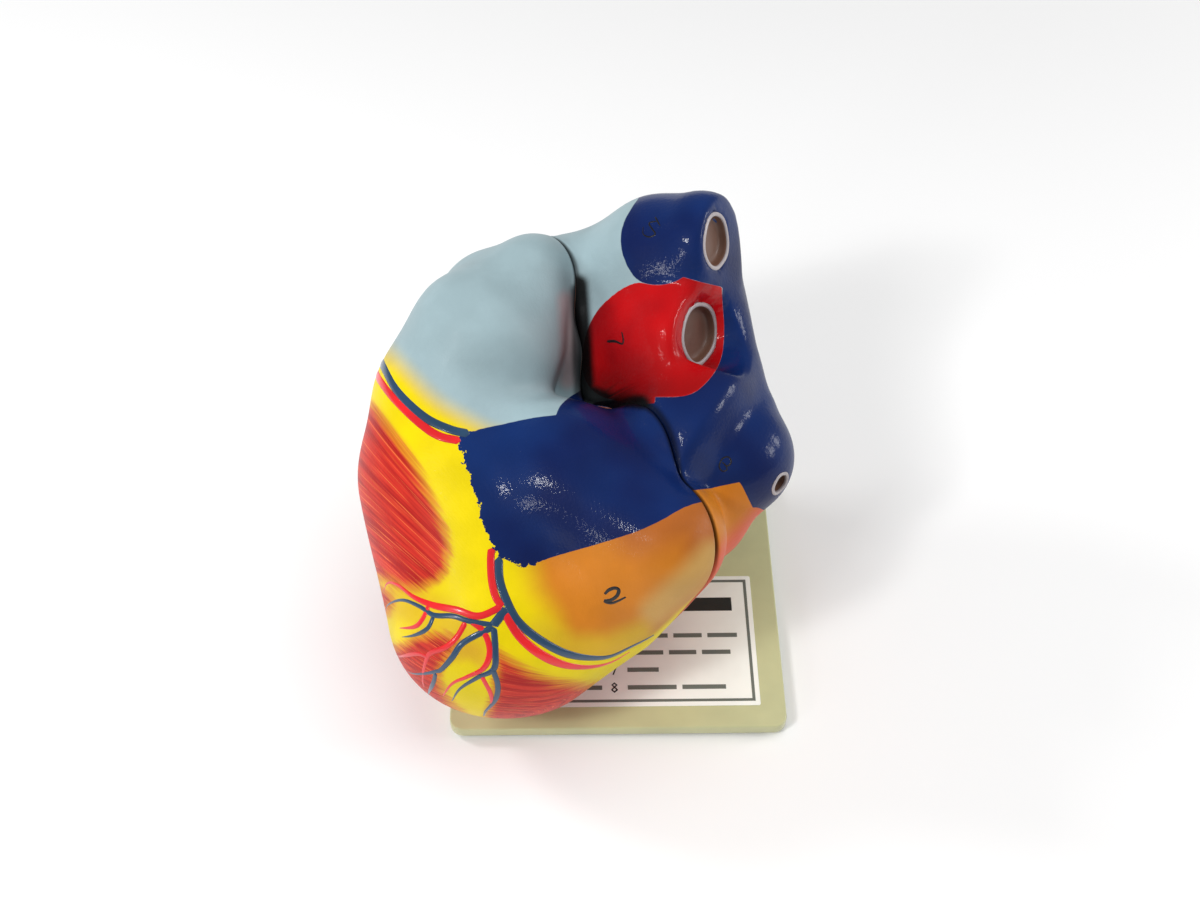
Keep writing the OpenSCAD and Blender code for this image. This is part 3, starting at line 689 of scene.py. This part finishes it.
def grainAt(q):
    # muscle fibres run round one axis: (cos phi, sin phi, theta) stretched
    c = np.array(grainAxis["centre"])
    axis = np.array(grainAxis["way"])
    axis /= np.linalg.norm(axis)
    side = np.cross(axis, (0.0, 1.0, 0.0))
    side /= np.linalg.norm(side)
    up = np.cross(axis, side)
    v = q - c
    v /= np.linalg.norm(v, axis=1, keepdims=True)
    theta = np.arccos(np.clip(v @ axis, -1, 1))
    phi = np.arctan2(v @ up, v @ side)
    r = grainAxis["round"]
    return np.stack([r * np.cos(phi), r * np.sin(phi), grainAxis["across"] * theta], 1)


# ---------- vessel mouths ----------

# Each mouth: centre on its lobe's square end, direction, inner radius, and the ring's width.
mouths = {
    "upperVein": {"lobe": "upperVein", "pixel": (716, 241), "radius": 8.6, "ring": 1.5},
    "aorta": {"lobe": "aorta", "pixel": (700, 334), "radius": 9.8, "ring": 1.6},
    "lungArtery": {"lobe": "lungArtery", "way": (0.96, 0.21, 0.20), "radius": 3.4, "ring": 1.3},
    "lowerVein": {"lobe": "lowerVein", "radius": 8.0, "ring": 1.6},
}
mouthForm = {"depth": 3.0, "lip": 0.35}


def mouthPlace(mouth):
    lobe = lobes[mouth["lobe"]]
    a, b = np.array(lobe[0], float), np.array(lobe[1], float)
    if "pixel" in mouth:
        at = atPixels([mouth["pixel"]])[0]
        return at, formNormal(at[None])[0]
    way = np.array(mouth["way"], float) if "way" in mouth else b - a
    way /= np.linalg.norm(way)
    reach = lobe[4] if lobe[4] else lobe[3]
    return settle((b + way * reach)[None])[0], way


def openMouths(points, side):
    # lets the shell's surface sink inside each mouth's ring
    if side < 0:
        return points
    for mouth in mouths.values():
        at, way = mouthPlace(mouth)
        v = points - at
        out = v @ way
        across = np.linalg.norm(v - out[..., None] * way, axis=-1)
        sink = 1 - smoothStep(across, mouth["radius"] - 0.4, mouth["radius"] + mouth["ring"] * 0.55)
        near = (np.abs(out) < 9) & (across < mouth["radius"] + 6)
        points = points - way * (np.where(near, sink, 0) * (mouthForm["depth"] + 1.2))[..., None]
    return points


def buildMouth(name, mouth, ringMaterial, coreMaterial):
    # ring: a low torus-like lip laid on the form; core: a dished cup inside it
    at, way = mouthPlace(mouth)
    side = np.cross(way, (0, 1, 0.2))
    side /= np.linalg.norm(side)
    up = np.cross(way, side)
    turn = np.linspace(0, 2 * np.pi, 96, endpoint=False)
    spoke = np.cos(turn)[:, None] * side + np.sin(turn)[:, None] * up
    r, w = mouth["radius"], mouth["ring"]
    wobble = 1 + 0.02 * np.sin(3 * turn + 1) + 0.015 * np.sin(5 * turn)
    across = np.linspace(0, 1, 9)
    rows = []
    for t in across:
        ring = at + spoke * ((r + t * w) * wobble)[:, None]
        ring = settle(ring)
        rows.append(ring + formNormal(ring) * (mouthForm["lip"] * math.sin(math.pi * t) ** 0.6 + 0.02))
    outerLow = settle(at + spoke * ((r + w) * wobble)[:, None])
    rows.append(outerLow - formNormal(outerLow) * 0.8)
    innerLow = settle(at + spoke * (r * wobble)[:, None])
    rows.append(innerLow - formNormal(innerLow) * 0.8)
    pts = np.concatenate(rows)
    faces = gridFaces(len(rows), len(turn))
    close = gridFaces(2, len(turn))
    close = np.where(close >= len(turn), close - len(turn), close + (len(rows) - 1) * len(turn))
    ringPiece = makePiece(name + "Ring", toBase(pts), [faces, close], "rear_half", ringMaterial)
    # cup
    depth = mouthForm["depth"]
    profile = [(1.03, 0.0), (0.99, -0.35), (0.975, -1.0), (0.95, -depth * 0.8), (0.88, -depth * 0.96), (0.7, -depth * 1.02),
               (0.4, -depth * 1.05), (0.15, -depth * 1.06)]
    edge = settle(at + spoke * (r * wobble)[:, None])
    rows = [at + (edge - at) * p + way * h for p, h in profile]
    under = [at + (edge - at) * p + way * (h - 0.5) for p, h in reversed(profile)]
    tip = at - way * depth * 1.06
    pts = np.concatenate(rows + under + [tip[None], (tip - way * 0.5)[None]])
    count = len(turn)
    body = gridFaces(len(profile), count)
    bodyUnder = gridFaces(len(profile), count, first=len(profile) * count)
    joinRim = np.stack([np.arange(count), np.roll(np.arange(count), -1),
                        np.roll(np.arange(count), -1) + (2 * len(profile) - 1) * count, np.arange(count) + (2 * len(profile) - 1) * count], -1)[:, ::-1]
    tips = [fanFaces(np.arange(count) + (len(profile) - 1) * count, len(pts) - 2),
            fanFaces(np.arange(count) + len(profile) * count, len(pts) - 1, flip=True)]
    core = makePiece(name + "Cup", toBase(pts), [body, bodyUnder, joinRim] + tips, "rear_half", coreMaterial)
    return ringPiece, core


# ---------- painted lines ----------

def resample(path, step):
    # Catmull-Rom curve through the points, in even steps
    path = np.asarray(path, float)
    padded = np.concatenate([[2 * path[0] - path[1]], path, [2 * path[-1] - path[-2]]])
    t = np.linspace(0, 1, 24, endpoint=False)[:, None]
    runs = []
    for p0, p1, p2, p3 in zip(padded[:-3], padded[1:-2], padded[2:-1], padded[3:]):
        runs.append(0.5 * (2 * p1 + (p2 - p0) * t + (2 * p0 - 5 * p1 + 4 * p2 - p3) * t ** 2 + (3 * p1 - p0 - 3 * p2 + p3) * t ** 3))
    curve = np.concatenate(runs + [path[-1:]])
    run = np.concatenate([[0], np.cumsum(np.linalg.norm(np.diff(curve, axis=0), axis=1))])
    count = max(4, int(run[-1] / step))
    at = np.linspace(0, run[-1], count)
    return np.stack([np.interp(at, run, curve[:, i]) for i in range(3)], 1), at / run[-1]


def ribbon(path, width, height, taper=(1.0, 1.0), step=0.6, facingSide=-1):
    # a low bead laid on the form: across it the height is h (1 - s^2), s from -1 to 1
    centre, share = resample(path, step)
    centre = settle(centre)
    normal = formNormal(centre)
    along = np.gradient(centre, axis=0)
    along /= np.linalg.norm(along, axis=1, keepdims=True)
    side = np.cross(normal, along)
    ends = np.minimum(smoothStep(share, -0.001, 0.02 + 1e-6) if taper[0] >= 1 else np.clip(taper[0] + share * 2.5, 0, 1),
                      smoothStep(1 - share, -0.001, 0.02) if taper[1] >= 1 else np.clip(taper[1] + (1 - share) * 1.4, 0, 1))
    half = width / 2 * np.maximum(ends, 0.05)
    s = np.linspace(-1, 1, 7)
    rows = []
    for v in s:
        p = settle(centre + side * (half * v)[:, None], 2)
        rows.append(p + normal * (height * (1 - v * v) * ends + 0.015)[:, None])
    for v in (0.9, -0.9):
        rows.append(centre + side * (half * v)[:, None] - normal * 0.35)
    pts = np.stack(rows) + np.array([0, facingSide * stance["gap"] / 2, 0])   # across x along
    a, m = pts.shape[:2]
    flat = pts.reshape(-1, 3)
    i, j = np.meshgrid(np.arange(a), np.arange(m - 1), indexing="ij")
    n = (i + 1) % a
    quads = np.stack([i * m + j, n * m + j, n * m + j + 1, i * m + j + 1], -1).reshape(-1, 4)
    capA = np.arange(a)[None] * m
    capB = np.arange(a)[None, ::-1] * m + (m - 1)
    return flat, [quads[:, ::-1], capA, capB]


def joinRibbons(parts):
    points, faces, first = [], [], 0
    for p, blocks in parts:
        points.append(p)
        faces += [b + first for b in blocks]
        first += len(p)
    return np.concatenate(points), faces


# Coronary vessels on the front half: pixel paths, width in mm, and how far each end thins.
arteries = [
    ([(376, 372), (381.5, 382.5), (396.4, 401), (421, 424), (439.5, 436), (461, 441)], 2.9, (1, 1)),
    ([(492, 548), (491, 560), (492, 580), (496, 597), (503, 607)], 2.6, (1, 1)),
    ([(505, 612), (519, 635), (539, 653), (565, 665), (591, 667), (612, 662), (630, 652)], 3.2, (1, 0.2)),
    ([(503, 606), (479, 616), (457, 610), (433, 605), (414, 597), (398, 585), (388, 583), (384, 591)], 2.4, (1, 0.15)),
    ([(429, 606), (422, 620), (414, 627), (400, 628)], 1.8, (1, 0.15)),
    ([(466, 622), (457, 637), (446, 647), (431, 653), (426, 661), (424, 687)], 1.9, (1, 0.15)),
    ([(428, 657), (415, 654), (398, 656)], 1.5, (1, 0.15)),
    ([(470, 620), (484, 632), (490, 651), (484, 668), (467, 677), (452, 684), (443, 696)], 2.1, (1, 0.15)),
    ([(482, 676), (491, 694), (492, 708)], 1.6, (1, 0.3)),
]
veins = [
    ([(380, 360), (385.6, 371), (399.7, 394), (424.6, 417), (449.5, 429), (470, 434)], 3.0, (1, 1)),
    ([(499, 556), (500, 580), (508, 603), (519, 622), (539, 639), (565, 653), (591, 658), (612, 656), (635, 645), (654, 635)], 2.9, (1, 0.4)),
    ([(507, 608), (493, 626)], 3.1, (1, 1)),
    ([(494, 625), (469, 621), (453, 616), (434, 615), (419, 606), (402, 600), (388, 605), (386, 612)], 1.8, (1, 0.1)),
    ([(434, 616), (427.5, 628.5), (415, 635), (402, 637)], 1.6, (1, 0.1)),
    ([(494, 627), (479, 634), (462, 644), (452, 658), (441, 670), (434, 672), (407, 671)], 2.1, (1, 0.1)),
    ([(436, 673), (433, 684), (426, 698)], 1.6, (1, 0.15)),
    ([(494, 627), (495.5, 649), (494, 669), (477, 678), (460, 689), (452, 701)], 2.2, (1, 0.1)),
    ([(493, 669), (498, 685), (496, 699), (486, 711), (484, 716)], 1.9, (1, 0.2)),
]
numberStrokes = {
    "two": ([[(605, 594), (609, 590), (615, 588), (619, 590), (617, 596), (611, 600), (605, 601), (611, 603), (618, 601), (626, 597)]], 1.25, "front_half"),
    "seven": ([[(607, 341.5), (615, 341.5), (622, 344), (623, 339), (621.5, 332)]], 1.1, "rear_half"),
    "five": ([[(655, 217), (660, 226)], [(657, 221), (649, 223), (652, 229), (655, 234), (649, 237), (643, 234), (643, 227)]], 0.55, "rear_half"),
    "eight": ([[(722, 462), (727, 466), (731, 462), (728, 457), (722, 459), (719, 466), (722, 471), (727, 469), (722, 462)]], 0.55, "rear_half"),
}


def vesselLines(name, lines, height, material):
    parts = [ribbon(atPixels(path), width, height, taper) for path, width, taper in lines]
    points, faces = joinRibbons(parts)
    return makePiece(name, toBase(points), faces, "front_half", material)


# ---------- build ----------

print("stage: heart shells")
frontPaint = heartPaint("frontEnamel")
rearPaint = heartPaint("rearEnamel")
frontShell = buildShell("frontShell", "front_shell", -1, "front_half", frontPaint, paintFront)
rearShell = buildShell("rearShell", "rear_shell", 1, "rear_half", rearPaint, paintRear)

print("stage: vessel mouths")
ringFinish = plainFinish("mouthRingEnamel", (164, 156, 158), 0.4, 0.2)
cupFinish = plainFinish("mouthCupEnamel", (104, 74, 60), 0.45, 0.1)
for label, mouth in mouths.items():
    buildMouth(label + "Mouth", mouth, ringFinish, cupFinish)

print("stage: painted lines")
arteryFinish = plainFinish("arteryEnamel", (222, 20, 28), 0.35, 0.6)
veinFinish = plainFinish("veinEnamel", (28, 62, 92), 0.35, 0.6)
inkFinish = plainFinish("inkLine", (14, 10, 14), 0.4, 0.2)
vesselLines("coronaryArteries", arteries, 0.16, arteryFinish)
vesselLines("coronaryVeins", veins, 0.24, veinFinish)
for label, (lines, width, body) in numberStrokes.items():
    side = -1 if body == "front_half" else 1
    points, faces = joinRibbons([ribbon(atPixels(path), width, 0.10, (0.7, 0.5), 0.3, side) for path in lines])
    makePiece("number" + label.capitalize(), toBase(points), faces, body, inkFinish)

print("stage: base and key")
plate = {"width": 126.0, "depth": 140.0, "low": 2.0, "high": 7.0, "corner": 5.0, "edge": 0.7}
paper = {"left": -53.6, "right": 53.6, "near": -61.0, "far": -2.4, "low": 7.0, "high": 7.3, "corner": 0.8}
printing = {"height": 0.05, "border": 1.8, "borderWidth": 1.15, "headingTop": -12.6, "headingHeight": 6.2,
            "headingRuns": [(-45.5, -5.0), (1.0, 45.5)], "rows": (-30.0, -37.6, -45.2, -52.9), "columns": (-47.5, -2.4),
            "digit": (2.3, 3.9, 0.5), "bar": 1.9, "barFrom": 6.2}
# words of each row as lengths of plain bars
barRuns = [[(15, 14), (12, 11), (15, 9), (13, 12, 6)], [(16, 11, 11.5), (14, 10.5, 11), (12,), (18.5, 16.5)]]
# digits as strokes in a box one wide and one high
digitStrokes = {
    1: [[(0.25, 0.78), (0.55, 1), (0.55, 0)]],
    2: [[(0.05, 0.8), (0.3, 1), (0.75, 0.97), (0.9, 0.72), (0.05, 0), (0.95, 0)]],
    3: [[(0.08, 0.9), (0.5, 1), (0.88, 0.78), (0.45, 0.54), (0.92, 0.28), (0.5, 0), (0.05, 0.1)]],
    4: [[(0.7, 0), (0.7, 1), (0.03, 0.3), (0.98, 0.3)]],
    5: [[(0.9, 1), (0.15, 1), (0.1, 0.56), (0.55, 0.62), (0.92, 0.3), (0.5, 0), (0.05, 0.1)]],
    6: [[(0.85, 0.93), (0.4, 1), (0.08, 0.5), (0.12, 0.1), (0.5, 0), (0.9, 0.25), (0.55, 0.55), (0.12, 0.4)]],
    7: [[(0.05, 1), (0.95, 1), (0.35, 0)]],
    8: [[(0.5, 0.54), (0.12, 0.78), (0.5, 1), (0.88, 0.78), (0.5, 0.54), (0.05, 0.25), (0.5, 0), (0.95, 0.25), (0.5, 0.54)]],
}


def roundedRectangle(left, right, near, far, corner, inset=0.0, steps=10):
    # corner centres plus a radius turned through a quarter circle at each
    quarter = np.linspace(0, np.pi / 2, steps)
    r = max(corner - inset, 0.05)
    x0, x1, y0, y1 = left + corner, right - corner, near + corner, far - corner
    spots = [(x1, y1, 0), (x0, y1, 1), (x0, y0, 2), (x1, y0, 3)]
    return np.concatenate([np.stack([x + r * np.cos(quarter + k * np.pi / 2), y + r * np.sin(quarter + k * np.pi / 2)], 1) for x, y, k in spots])


def loft(loops):
    # closed loops of equal length joined in order, with a fan over the first and last
    count = len(loops[0])
    points = np.concatenate(list(loops) + [loops[0].mean(0)[None], loops[-1].mean(0)[None]])
    last = (len(loops) - 1) * count
    return points, [gridFaces(len(loops), count), fanFaces(np.arange(count), len(points) - 2, flip=True),
                    fanFaces(np.arange(last, last + count), len(points) - 1)]


def slab(name, sizes, low, high, edge, node, material):
    # a rounded rectangle carried up a profile whose upper and lower edges turn in a quarter circle
    turn = np.linspace(0, np.pi / 2, 5)
    profile = [(edge * (1 - math.sin(t)), low + edge * (1 - math.cos(t))) for t in turn]
    profile += [(edge * (1 - math.cos(t)), high - edge * (1 - math.sin(t))) for t in turn]
    loops = []
    for inset, z in profile:
        outline = roundedRectangle(*sizes, inset=inset)
        loops.append(np.column_stack([outline, np.full(len(outline), z)]))
    points, faces = loft(loops)
    return makePiece(name, points, faces, "base", material, (node,), smooth=True)


def flatBars(name, rects, low, high, material):
    # each rectangle, given by its four corners in order, becomes a thin closed block
    corners = np.asarray(rects, float)
    count = len(corners)
    lower = np.concatenate([corners, np.full((count, 4, 1), low)], 2)
    upper = np.concatenate([corners, np.full((count, 4, 1), high)], 2)
    points = np.concatenate([lower, upper], 1).reshape(-1, 3)
    block = np.array([(3, 2, 1, 0), (4, 5, 6, 7), (0, 1, 5, 4), (1, 2, 6, 5), (2, 3, 7, 6), (3, 0, 4, 7)])
    faces = (block[None] + 8 * np.arange(count)[:, None, None]).reshape(-1, 4)
    return makePiece(name, points, [faces], "base", material, smooth=False)


def box2(x0, y0, x1, y1):
    return [(x0, y0), (x1, y0), (x1, y1), (x0, y1)]


def strokeBlocks(stroke, at, size, thick):
    # a quadrilateral along each run of a stroke, lengthened by half its thickness at both ends
    pts = np.array(stroke) * np.array(size) + np.array(at)
    a, b = pts[:-1], pts[1:]
    run = (b - a) / np.linalg.norm(b - a, axis=1, keepdims=True)
    side = np.stack([-run[:, 1], run[:, 0]], 1) * thick / 2
    a, b = a - run * thick * 0.35, b + run * thick * 0.35
    return np.stack([a - side, b - side, b + side, a + side], 1)


def buildKey(ink, grey):
    p = printing
    low, high = paper["high"] - 0.1, paper["high"] + p["height"]
    x0, x1 = paper["left"] + p["border"], paper["right"] - p["border"]
    y0, y1 = paper["near"] + p["border"], paper["far"] - p["border"]
    w = p["borderWidth"]
    flatBars("keyBorder", [box2(x0, y0, x1, y0 + w), box2(x0, y1 - w, x1, y1), box2(x0, y0 + w, x0 + w, y1 - w),
                           box2(x1 - w, y0 + w, x1, y1 - w)], low, high, grey)
    top = p["headingTop"]
    flatBars("keyHeading", [box2(a, top - p["headingHeight"], b, top) for a, b in p["headingRuns"]], low, high, ink)
    words, digits = [], []
    for c, left in enumerate(p["columns"]):
        for r, y in enumerate(p["rows"]):
            x = left + p["barFrom"]
            for length in barRuns[c][r]:
                words.append(box2(x, y - p["bar"] / 2, x + length, y + p["bar"] / 2))
                x += length + 2.2
            for stroke in digitStrokes[4 * c + r + 1]:
                digits.append(strokeBlocks(stroke, (left, y - p["digit"][1] / 2), p["digit"][:2], p["digit"][2]))
    flatBars("keyWords", words, low, high, grey)
    flatBars("keyDigits", np.concatenate(digits), low, high + 0.01, ink)


plateFinish = plainFinish("oliveEnamel", (194, 194, 148), 0.4, 0.35, 700.0, 0.0002, vary=0.03)
slab("basePlate", (-plate["width"] / 2, plate["width"] / 2, -plate["depth"] / 2, plate["depth"] / 2, plate["corner"]),
     plate["low"], plate["high"], plate["edge"], "base_plate", plateFinish)
paperFinish = plainFinish("keyPaperStock", (246, 248, 240), 0.6, 0.0, 900.0, 0.0001, vary=0.02)
slab("keyPaper", (paper["left"], paper["right"], paper["near"], paper["far"], paper["corner"]), paper["low"], paper["high"], 0.1,
     "key_label", paperFinish)
buildKey(plainFinish("keyInk", (34, 36, 34), 0.5), plainFinish("keyGreyInk", (104, 110, 102), 0.6))

print("stage: inside and hardware")


def cavityPaint(name):
    # cut muscle on the parting face; below it dusky blue in the right chambers, rose in the left
    n = Nodes(name)
    here = n.add("ShaderNodeTexCoord").outputs["Object"]

    def along(axis, origin):
        dot = n.add("ShaderNodeVectorMath", operation="DOT_PRODUCT")
        dot.inputs[1].default_value = tuple(axis / mm)
        n.link(here, dot.inputs[0])
        return n.math("SUBTRACT", dot.outputs["Value"], float(origin @ axis))

    across, deep = along(axes[0], heartAt), along(axes[1], heartAt)
    depth = n.math("ABSOLUTE", deep)
    place = n.place()
    wobble = n.math("MULTIPLY", n.math("SUBTRACT", n.noise(place, 300.0), 0.5), 0.8)
    grainy = n.mix(n.ramp(n.noise(place, 220.0, 4.0), 0.35, 0.7), (216, 122, 96), (232, 164, 136))
    right = n.mix(n.ramp(n.noise(place, 90.0, 3.0), 0.3, 0.7), (84, 98, 150), (124, 136, 178))
    left = n.mix(n.ramp(n.noise(place, 90.0, 3.0), 0.3, 0.7), (176, 40, 44), (206, 84, 80))
    lining = n.mix(n.ramp(across, 10.0, 11.0), right, left)
    colour = n.mix(n.ramp(n.math("ADD", depth, wobble), 0.45, 0.75), grainy, lining)
    n.link(colour, n.shader.inputs["Base Color"])
    n.link(n.bump(n.noise(place, 260.0, 3.0), 0.25, 0.0006), n.shader.inputs["Normal"])
    n.put(Roughness=0.42, Coat_Weight=0.35, Coat_Roughness=0.15)
    return n.material


def brushedMetal(name, colour, roughness, stretch):
    # fine turning marks across the stretch direction
    n = Nodes(name)
    lines = n.noise(n.place(1.0, stretch), 40.0, 4.0, 0.6)
    dark = tuple(c * 0.86 for c in colour)
    n.link(n.mix(n.ramp(lines, 0.3, 0.7), dark, colour), n.shader.inputs["Base Color"])
    n.link(n.ramp(lines, 0.2, 0.8, (roughness * 0.8, roughness * 1.3)), n.shader.inputs["Roughness"])
    n.link(n.bump(lines, 0.15, 0.0002), n.shader.inputs["Normal"])
    n.put(Metallic=1.0)
    return n.material


def feltCloth(name, dark, light):
    # short fibres: two noises of different size over a woolly bump
    n = Nodes(name)
    here = n.place()
    fuzz = n.noise(here, 2600.0, 4.0, 0.7)
    n.link(n.mix(n.ramp(fuzz, 0.3, 0.7), dark, light), n.shader.inputs["Base Color"])
    n.link(n.bump(fuzz, 0.6, 0.0008), n.shader.inputs["Normal"])
    n.put(Roughness=0.95, Sheen_Weight=0.3)
    return n.material


steel = brushedMetal("turnedSteel", (176, 178, 180), 0.32, (1, 1, 40))
cavity = cavityPaint("chamberPaint")
valveSkin = plainFinish("valveSkin", (238, 216, 184), 0.5, 0.2, 400.0, 0.0004)
muscleSkin = plainFinish("papillaryEnamel", (196, 84, 68), 0.4, 0.4, 300.0, 0.0006)
cordSkin = plainFinish("tendonCord", (240, 230, 206), 0.5, 0.2)
finishes = {
    "base_felt": feltCloth("greenFelt", (18, 30, 24), (44, 62, 50)),
    "post": steel, "post_screw": brushedMetal("blackScrew", (70, 70, 72), 0.4, (1, 1, 20)), "dowel_pins": steel,
    "thrust_washer": plainFinish("whiteNylon", (236, 236, 230), 0.45, 0.1), "socket_bush": plainFinish("creamNylon", (226, 222, 208), 0.45, 0.1),
    "dowel_sleeves": brushedMetal("turnedBrass", (206, 168, 96), 0.3, (40, 1, 1)),
    "rear_chambers": cavity, "front_chambers": cavity,
    "rear_tricuspid_leaflets": valveSkin, "rear_mitral_leaflets": valveSkin, "aortic_valve": valveSkin,
    "front_tricuspid_leaflet": valveSkin, "front_mitral_leaflet": valveSkin, "pulmonary_valve": valveSkin,
    "rear_papillary_muscles": muscleSkin, "front_papillary_muscles": muscleSkin, "rear_chordae": cordSkin, "front_chordae": cordSkin,
}
for node, finish in finishes.items():
    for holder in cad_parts[node].material_slots:
        holder.material = finish

print("stage: camera and light")
camera = bpy.data.objects.new("camera", bpy.data.cameras.new("camera"))
bpy.context.scene.collection.objects.link(camera)
camera.data.sensor_width = view["sensor"]
camera.data.lens = view["focal"] / view["width"] * view["sensor"]
camera.data.clip_start, camera.data.clip_end = 0.01, 20.0
turn = Matrix((camRight, camUp, -camAhead)).transposed().to_4x4()
camera.matrix_world = Matrix.Translation(camAt * mm) @ turn
bpy.context.scene.camera = camera


def areaLamp(name, at, aim, size, power, colour=(1, 1, 1), gleams=True):
    lamp = bpy.data.lights.new(name, "AREA")
    lamp.shape = "RECTANGLE"
    lamp.size, lamp.size_y = size
    lamp.energy = power
    lamp.color = colour
    obj = bpy.data.objects.new(name, lamp)
    bpy.context.scene.collection.objects.link(obj)
    obj.visible_glossy = gleams
    way = np.array(aim, float) - np.array(at, float)
    way /= np.linalg.norm(way)
    side = np.cross(way, (0, 0, 1))
    side /= np.linalg.norm(side)
    up = np.cross(side, way)
    obj.matrix_world = Matrix.Translation(at) @ Matrix((side, up, -way)).transposed().to_4x4()
    return obj


def fromSky(azimuth, elevation, distance=0.95, over=(0.0, 0.0, 0.08)):
    a, e = math.radians(azimuth), math.radians(elevation)
    return tuple(o + distance * c for o, c in zip(over, (math.cos(e) * math.cos(a), math.cos(e) * math.sin(a), math.sin(e))))


lamps = {
    "key": dict(at=fromSky(-136, 47), size=(0.22, 0.16), power=2.4, gleams=False),
    "glint": dict(at=fromSky(-139, 43), size=(0.085, 0.085), power=1.5),
    "frontLow": dict(at=fromSky(-135, 17), size=(0.12, 0.10), power=0.7),
    "rightLow": dict(at=fromSky(-8, 24), size=(0.2, 0.2), power=1.5),
    "rightBack": dict(at=fromSky(14, 16), size=(0.2, 0.24), power=1.4),
    "leftBack": dict(at=fromSky(160, 34), size=(0.2, 0.2), power=2.9, gleams=False),
    "overhead": dict(at=fromSky(20, 78), size=(0.8, 0.8), power=3.9, gleams=False),
}
for label, lamp in lamps.items():
    areaLamp(label, aim=(0, 0, 0.08), **lamp)

world = bpy.data.worlds.new("studio")
bpy.context.scene.world = world
world.use_nodes = True
worldNodes = world.node_tree
background = worldNodes.nodes["Background"]
background.inputs["Color"].default_value = (1, 1, 1, 1)
lightPath = worldNodes.nodes.new("ShaderNodeLightPath")
skyLevel = worldNodes.nodes.new("ShaderNodeMapRange")
skyLevel.inputs["To Min"].default_value = 0.27
skyLevel.inputs["To Max"].default_value = 1.0
worldNodes.links.new(lightPath.outputs["Is Camera Ray"], skyLevel.inputs["Value"])
worldNodes.links.new(skyLevel.outputs["Result"], background.inputs["Strength"])

floorMesh = bpy.data.meshes.new("floor")
reachOut = 6.0
floorMesh.from_pydata([(-reachOut, -reachOut, 0), (reachOut, -reachOut, 0), (reachOut, reachOut, 0), (-reachOut, reachOut, 0)], [], [(0, 1, 2, 3)])
floor = bpy.data.objects.new("floor", floorMesh)
bpy.context.scene.collection.objects.link(floor)


def floorPaper(name, near=0.32, far=0.9):
    # pale matt paper that keeps the shadow near the object and is plain white farther off
    n = Nodes(name)
    coords = n.add("ShaderNodeTexCoord").outputs["Object"]
    reach = n.add("ShaderNodeVectorMath", operation="LENGTH")
    n.link(coords, reach.inputs[0])
    away = n.ramp(reach.outputs["Value"], near, far)
    path = n.add("ShaderNodeLightPath")
    seen = n.math("MAXIMUM", path.outputs["Is Camera Ray"], n.math("MAXIMUM", path.outputs["Is Glossy Ray"], path.outputs["Is Transmission Ray"]))
    white = n.add("ShaderNodeEmission")
    white.inputs["Color"].default_value = (1, 1, 1, 1)
    blend = n.add("ShaderNodeMixShader")
    n.link(n.math("MULTIPLY", away, seen), blend.inputs[0])
    n.link(n.shader.outputs[0], blend.inputs[1])
    n.link(white.outputs[0], blend.inputs[2])
    n.link(blend.outputs[0], n.tree.nodes["Material Output"].inputs["Surface"])
    n.put(Base_Color=(0.93, 0.93, 0.93, 1.0), Roughness=0.7, Specular_IOR_Level=0.1)
    return n.material


floorMesh.materials.append(floorPaper("floorPaper"))

bpy.context.scene.view_settings.view_transform = "Standard"
